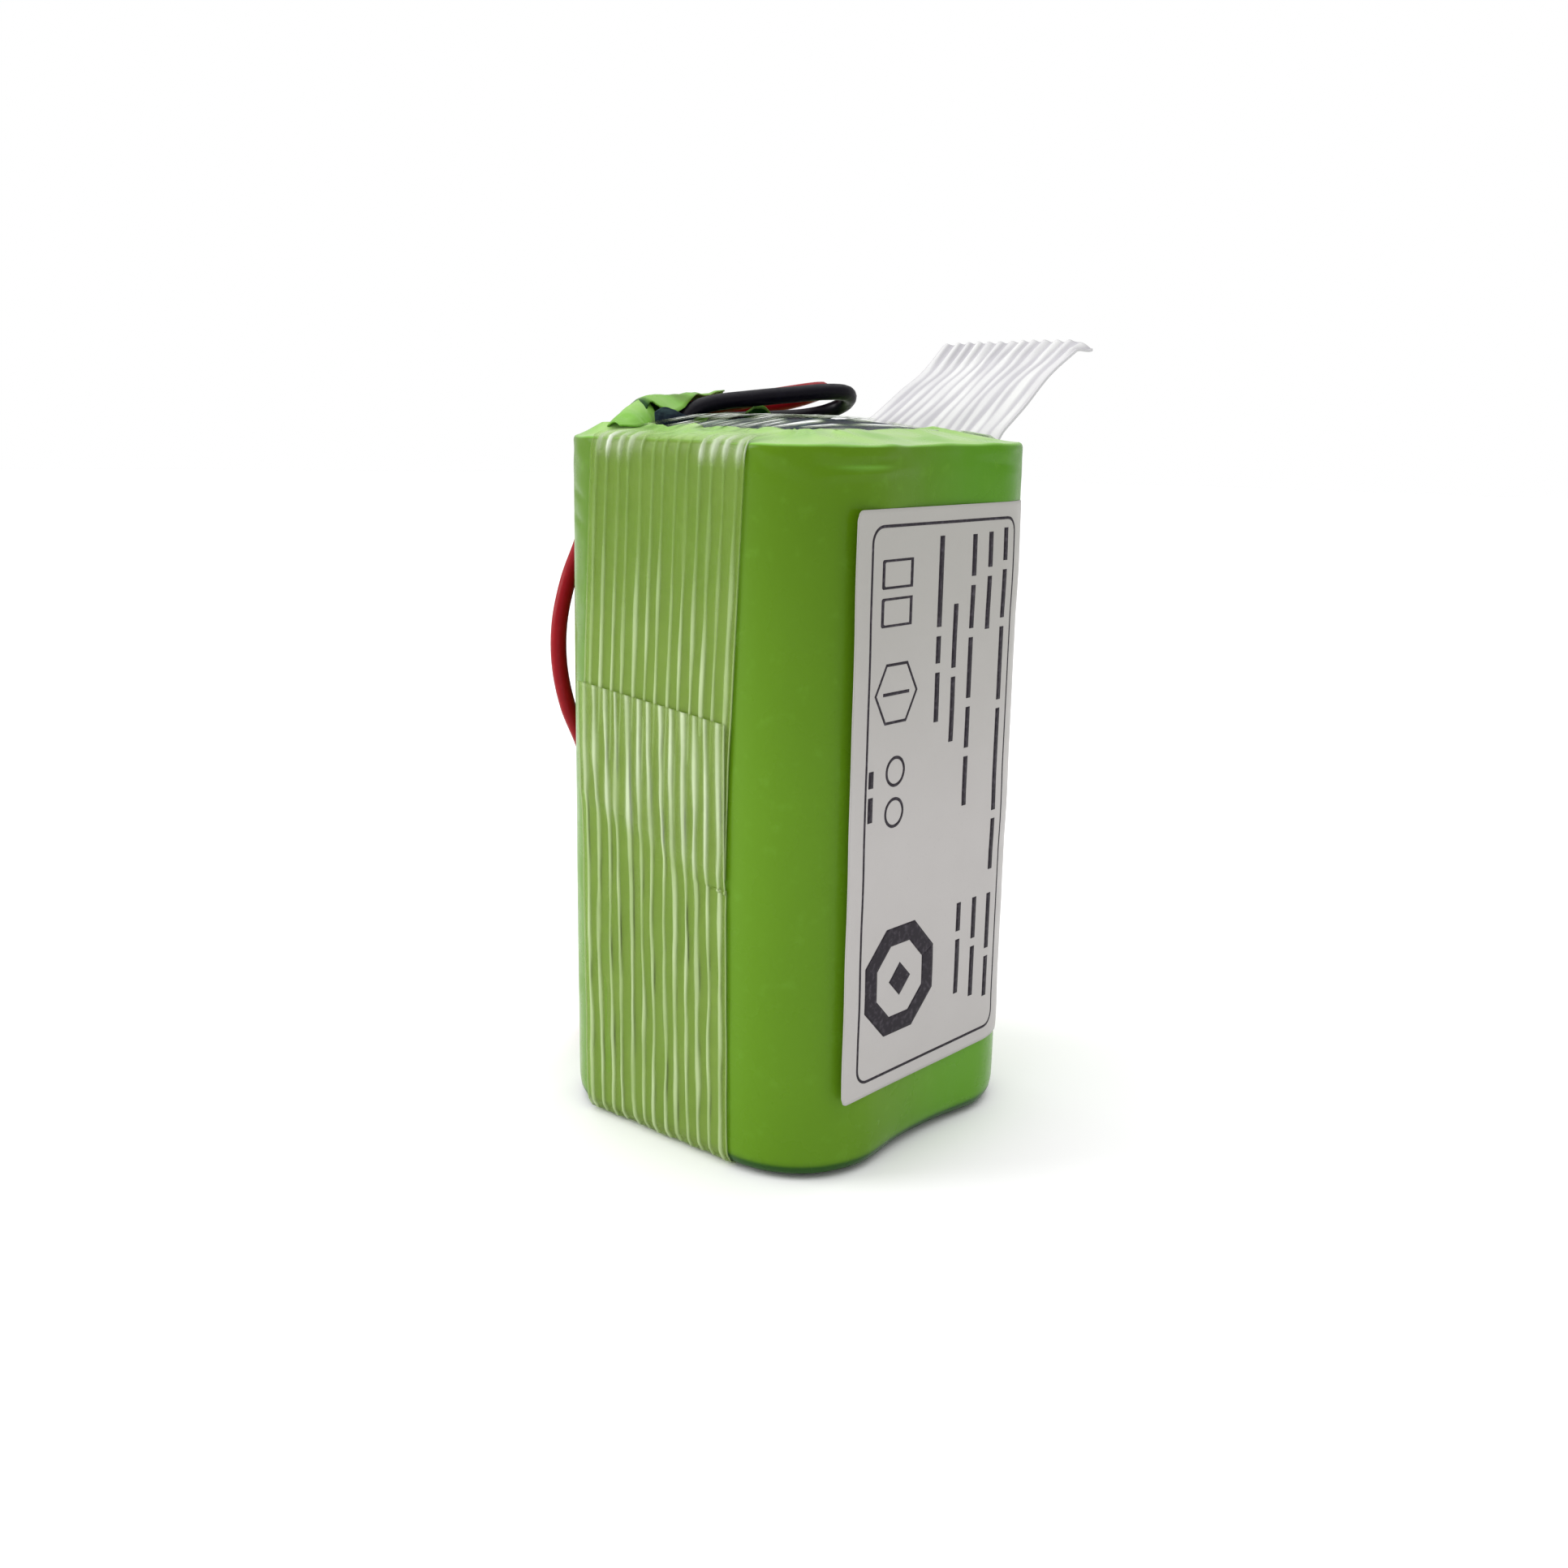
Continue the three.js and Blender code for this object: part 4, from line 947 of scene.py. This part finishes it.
def add_print():
    """Plain bars, frames and rings of ink: the label carries no lettering and no marks."""
    strips = [stroke(label_border(), BORDER_WIDTH)]
    strips += [stroke(bar, BAR_WIDTH) for bar in label_bars()]
    strips += [ring((-7.9, height), 4, (3.3, 1.9), 0.55, 45) for height in (58.5, 55.0)]
    strips += [ring((-7.6, 47.4), 6, (3.3, 3.3), 0.3, 0), stroke([(-9.6, 47.4), (-5.6, 47.4)], 0.3)]
    strips += [ring((-7.3, height), 24, (1.5, 1.5), 0.3, 0) for height in (39.9, 35.9)]
    strips += [ring((-5.5, 18.85), 8, (5.9, 5.9), 2.0, 22.5), ring((-5.5, 18.85), 4, (1.7, 1.7), 1.69, 0)]
    points, faces = [], []
    for strip in strips:
        flat = strip.reshape(-1, 2)
        start = sum(len(p) for p in points)
        points.append(label_point(flat[:, 0], flat[:, 1], label_relief(flat[:, 0], flat[:, 1]) + 0.02))
        faces += [tuple(start + i for i in face) for face in grid_faces(*strip.shape[:2])]
    add_piece("label_print", np.concatenate(points), faces, DARK_INK, (), INK_WALL)


# ---- torn film over the leads

FLAP_LOOKS = {"green_film": GREEN_FILM, "dark_cover": DARK_COVER}
FLAP_ROWS = 36  # through its stations
FLAP_COLUMNS = 16  # from its foot to its lip
FLAP_SPACING = 0.3


def flap_surface(stations):
    """A smooth surface through stations, each of which is a list of points from foot to lip."""
    across = [shared_out(smooth_line(station, FLAP_SPACING), FLAP_COLUMNS) for station in stations]
    lines = [smooth_line(column, FLAP_SPACING) for column in np.array(across).transpose(1, 0, 2)]
    return np.stack([shared_out(line, FLAP_ROWS) for line in lines], axis=1)


def add_flap(name, stations, seed, replaces=(), shade_before=0.0, shade_below=0.0, slot="green_film"):
    """A flap of film; a share of it by its first station or by its foot can take painted shade, as in a
    fold.
    """
    grid = flap_surface(stations)
    rows, columns = grid.shape[:2]
    normals = grid_normals(grid)
    grid = grid + normals * (0.05 * waves(grid, 2.6, seed) + 0.04 * waves(grid, 1.1, seed + 1))[..., None]
    # The flaps are paler at random: sheer film, and painted light on their upturned faces.
    thin_and_lit = np.clip(0.5 + 0.2 * waves(grid, 4, seed + 2), 0, 1)
    share = np.linspace(0, 1, rows)[:, None] + np.zeros(columns)
    climb = np.zeros((rows, 1)) + np.linspace(0, 1, columns)
    # Painted shade by the first station or along the foot.
    painted_shade = 1 - step(share, shade_before - 0.04, shade_before + 0.01)
    painted_shade = np.maximum(painted_shade, 1 - step(climb, shade_below - 0.15, shade_below + 0.01))
    add_piece(
        name, grid, grid_faces(rows, columns), FLAP_LOOKS[slot], replaces, FLAP_WALL,
        {"thin_and_lit": thin_and_lit, "painted_shade": painted_shade},
    )


def add_torn_film():
    """The canopy over the leads, the tent and the curl at its ends, and below them a fold of the dark cover
    as painted shade.
    """
    canopy = []
    for x, top_y, top_z, lip_y, lip_z in (
        (-10.9, 12.3, 72.5, 11.2, 71.8), (-10.2, 12.4, 73.4, 11.3, 72.9), (-9.6, 12.5, 73.85, 11.4, 73.5),
        (-8.7, 12.6, 73.9, 10.6, 72.75), (-7.4, 12.6, 74.0, 10.3, 72.35), (-6.0, 12.7, 74.05, 10.4, 72.8),
        (-4.7, 12.8, 74.1, 10.8, 73.45), (-3.5, 12.9, 74.15, 11.3, 74.05), (-1.8, 13.1, 74.2, 12.3, 74.2),
        (-0.2, 13.2, 74.2, 12.6, 74.1), (1.5, 13.3, 74.4, 12.9, 74.45), (3.2, 13.6, 74.65, 13.3, 74.7),
    ):
        canopy.append([
            (x, 15.6, 70.9), (x, 14.8, 71.0 + (top_z - 71.0) * 0.6), (x, top_y, top_z),
            (x, (top_y + lip_y) / 2, (top_z + lip_z) / 2 + 0.12), (x, lip_y, lip_z),
        ])
    # The canopy's end by the tent is painted in shade.
    add_flap("film_canopy", canopy, 91, ["film_flap"], shade_before=0.13)
    tent = [
        [(-14.0, 13.2, 70.9), (-14.0, 12.3, 71.3), (-14.2, 11.1, 71.1)],
        [(-12.5, 13.8, 71.4), (-12.3, 12.7, 72.35), (-12.5, 11.2, 71.9), (-12.9, 9.9, 71.0)],
        [(-11.0, 14.0, 72.0), (-10.8, 12.8, 73.25), (-11.0, 11.3, 72.6), (-11.4, 10.0, 71.1)],
        [(-9.8, 14.0, 72.2), (-9.3, 12.8, 73.6), (-9.1, 11.6, 72.8), (-9.7, 10.5, 71.3)],
    ]
    add_flap("film_tent", tent, 95)
    curl = [
        [(2.1, 9.5, 71.9), (2.1, 9.2, 72.2), (2.1, 9.0, 72.5)],
        [(2.9, 9.5, 71.9), (2.9, 9.3, 72.5), (2.9, 9.0, 73.0)],
        [(3.9, 9.6, 71.9), (3.9, 9.4, 72.6), (3.9, 9.0, 73.15)],
        [(4.9, 9.5, 71.9), (4.9, 9.3, 72.5), (4.9, 9.0, 73.05)],
        [(5.8, 9.5, 71.8), (5.8, 9.2, 72.1), (5.8, 9.0, 72.4)],
    ]
    # The curl's lower part, under the black lead, is painted in shade.
    add_flap("film_curl", curl, 99, shade_below=0.86)
    # A dark sheet under the canopy's lip: painted shade, which also hides the red lead there.
    fold = [
        [(-10.5, 9.8, 70.8), (-10.5, 9.9, 71.5), (-10.5, 10.05, 72.3)],
        [(-9.4, 9.75, 70.8), (-9.4, 9.88, 71.7), (-9.4, 10.05, 72.8)],
        [(-8.1, 9.72, 70.8), (-8.1, 9.85, 71.6), (-8.1, 10.0, 72.6)],
        [(-6.8, 9.7, 70.8), (-6.8, 9.8, 71.5), (-6.8, 9.85, 72.2)],
        [(-5.4, 9.65, 70.8), (-5.4, 9.7, 71.3), (-5.4, 9.75, 71.8)],
    ]
    add_flap("fold_in_painted_shade", fold, 103, slot="dark_cover")


add_film()
add_foot_paper()
add_cover()
add_tape()
add_tab()
add_label()
add_print()
add_torn_film()


# ---- the CAD nodes that stay

def dress(material, *names):
    """Gives CAD nodes their material."""
    for name in names:
        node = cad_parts[name]
        if not node.material_slots:
            node.data.materials.append(material)
        for slot in node.material_slots:
            slot.material = material


def soften(width, *names):
    """Rounds the sharp edges of CAD nodes."""
    for name in names:
        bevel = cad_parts[name].modifiers.new("edges", "BEVEL")
        bevel.width = width * MM
        bevel.segments = 2
        bevel.limit_method = "ANGLE"


def dress_cells():
    for part, material in (
        ("can", metal_look("cell_can", (0.62, 0.62, 0.63), 0.3, (1, 1, 12))),
        ("cap", metal_look("cell_cap", (0.7, 0.7, 0.71), 0.22)),
        ("electrode_roll", foil_look()),
        ("wrap", plastic_look("cell_wrap", (0.03, 0.16, 0.34), 0.3)),
        ("ring", paper_look("ring_paper", (0.74, 0.72, 0.66), (0.85, 0.83, 0.78))),
    ):
        dress(material, *[f"cell_{number}_{part}" for number in (1, 2, 3, 4)])


def dress_inside():
    nickel = metal_look("nickel_strip", (0.66, 0.64, 0.6), 0.32, (1, 14, 1))
    dress(nickel, "nickel_bottom_low", "nickel_bottom_high", "nickel_top_link")
    dress(nickel, "nickel_top_minus", "nickel_top_plus")
    dress(INSULATING_PAPER, "top_insulator")
    dress(board_look(), "protection_board")
    dress(plastic_look("chip_black", (0.014, 0.014, 0.016), 0.5), "switch_1", "switch_2", "controller")
    dress(metal_look("shunt_metal", (0.36, 0.37, 0.38), 0.4, (10, 1, 1)), "shunt")
    dress(metal_look("solder", (0.66, 0.67, 0.69), 0.25), "solder_red", "solder_black")
    dress(plastic_look("sense_wire", (0.5, 0.5, 0.48), 0.45), "sense_wire_low", "sense_wire_high")
    soften(0.12, "switch_1", "switch_2", "controller", "shunt", "solder_red", "solder_black")


def dress_connector():
    nylon = plastic_look("white_nylon", (0.62, 0.60, 0.53), 0.42, 0.02)
    dress(nylon, "connector_housing", "latch_lever")
    dress(metal_look("tinned_contact", (0.72, 0.68, 0.56), 0.28, (8, 1, 1)), "contact_black", "contact_red")
    soften(0.22, "connector_housing")
    soften(0.18, "latch_lever")
    soften(0.15, "contact_black", "contact_red")


dress_cells()
dress_inside()
dress_connector()


# ---- floor and light

FLOOR_RADIUS = 1.5  # in metres, as the lights' places and sizes are
FLOOR_SIDES = 96
STUDIO_LIGHT = 0.68
PACK_MIDDLE = Vector((0, 0, 0.035))


def add_floor():
    """A plain pale floor, large enough for every view."""
    look = Look("floor", (0.95, 0.95, 0.95), 0.9, Specular_IOR_Level=0.1)
    look.set("Base Color", look.blend(look.noise(80, 2), (0.94, 0.94, 0.94), (0.96, 0.96, 0.96)))
    mesh = bpy.data.meshes.new("floor")
    turns = [2 * math.pi * i / FLOOR_SIDES for i in range(FLOOR_SIDES)]
    corners = [(FLOOR_RADIUS * math.cos(a), FLOOR_RADIUS * math.sin(a), 0) for a in turns]
    mesh.from_pydata(corners, [], [tuple(range(FLOOR_SIDES))])
    mesh.materials.append(look.material)
    floor = bpy.data.objects.new("floor", mesh)
    scene.collection.objects.link(floor)


def add_light(name, place, size, power):
    """A soft square light of that size in metres, turned to the pack's middle."""
    lamp = bpy.data.lights.new(name, "AREA")
    lamp.size = size
    lamp.energy = power
    light = bpy.data.objects.new(name, lamp)
    scene.collection.objects.link(light)
    light.location = place
    light.rotation_euler = (PACK_MIDDLE - Vector(place)).to_track_quat("-Z", "Y").to_euler()


def add_world():
    """A white studio: even pale light, and white behind the object."""
    world = bpy.data.worlds.new("studio")
    scene.world = world
    world.use_nodes = True
    nodes, links = world.node_tree.nodes, world.node_tree.links
    soft = nodes["Background"]
    backdrop = nodes.new("ShaderNodeBackground")
    for background, strength in ((soft, STUDIO_LIGHT), (backdrop, 1.0)):
        background.inputs["Color"].default_value = (1, 1, 1, 1)
        background.inputs["Strength"].default_value = strength
    seen = nodes.new("ShaderNodeLightPath").outputs["Is Camera Ray"]
    choice = nodes.new("ShaderNodeMixShader")
    links.new(seen, choice.inputs[0])
    links.new(soft.outputs[0], choice.inputs[1])
    links.new(backdrop.outputs[0], choice.inputs[2])
    links.new(choice.outputs[0], nodes["World Output"].inputs["Surface"])


add_floor()
add_world()
add_light("overhead", (0.1, 0.1, 2.0), 3.0, 38.0)
add_light("left", (-0.8, 0.9, 0.5), 0.7, 9.5)
scene.view_settings.view_transform = "Standard"
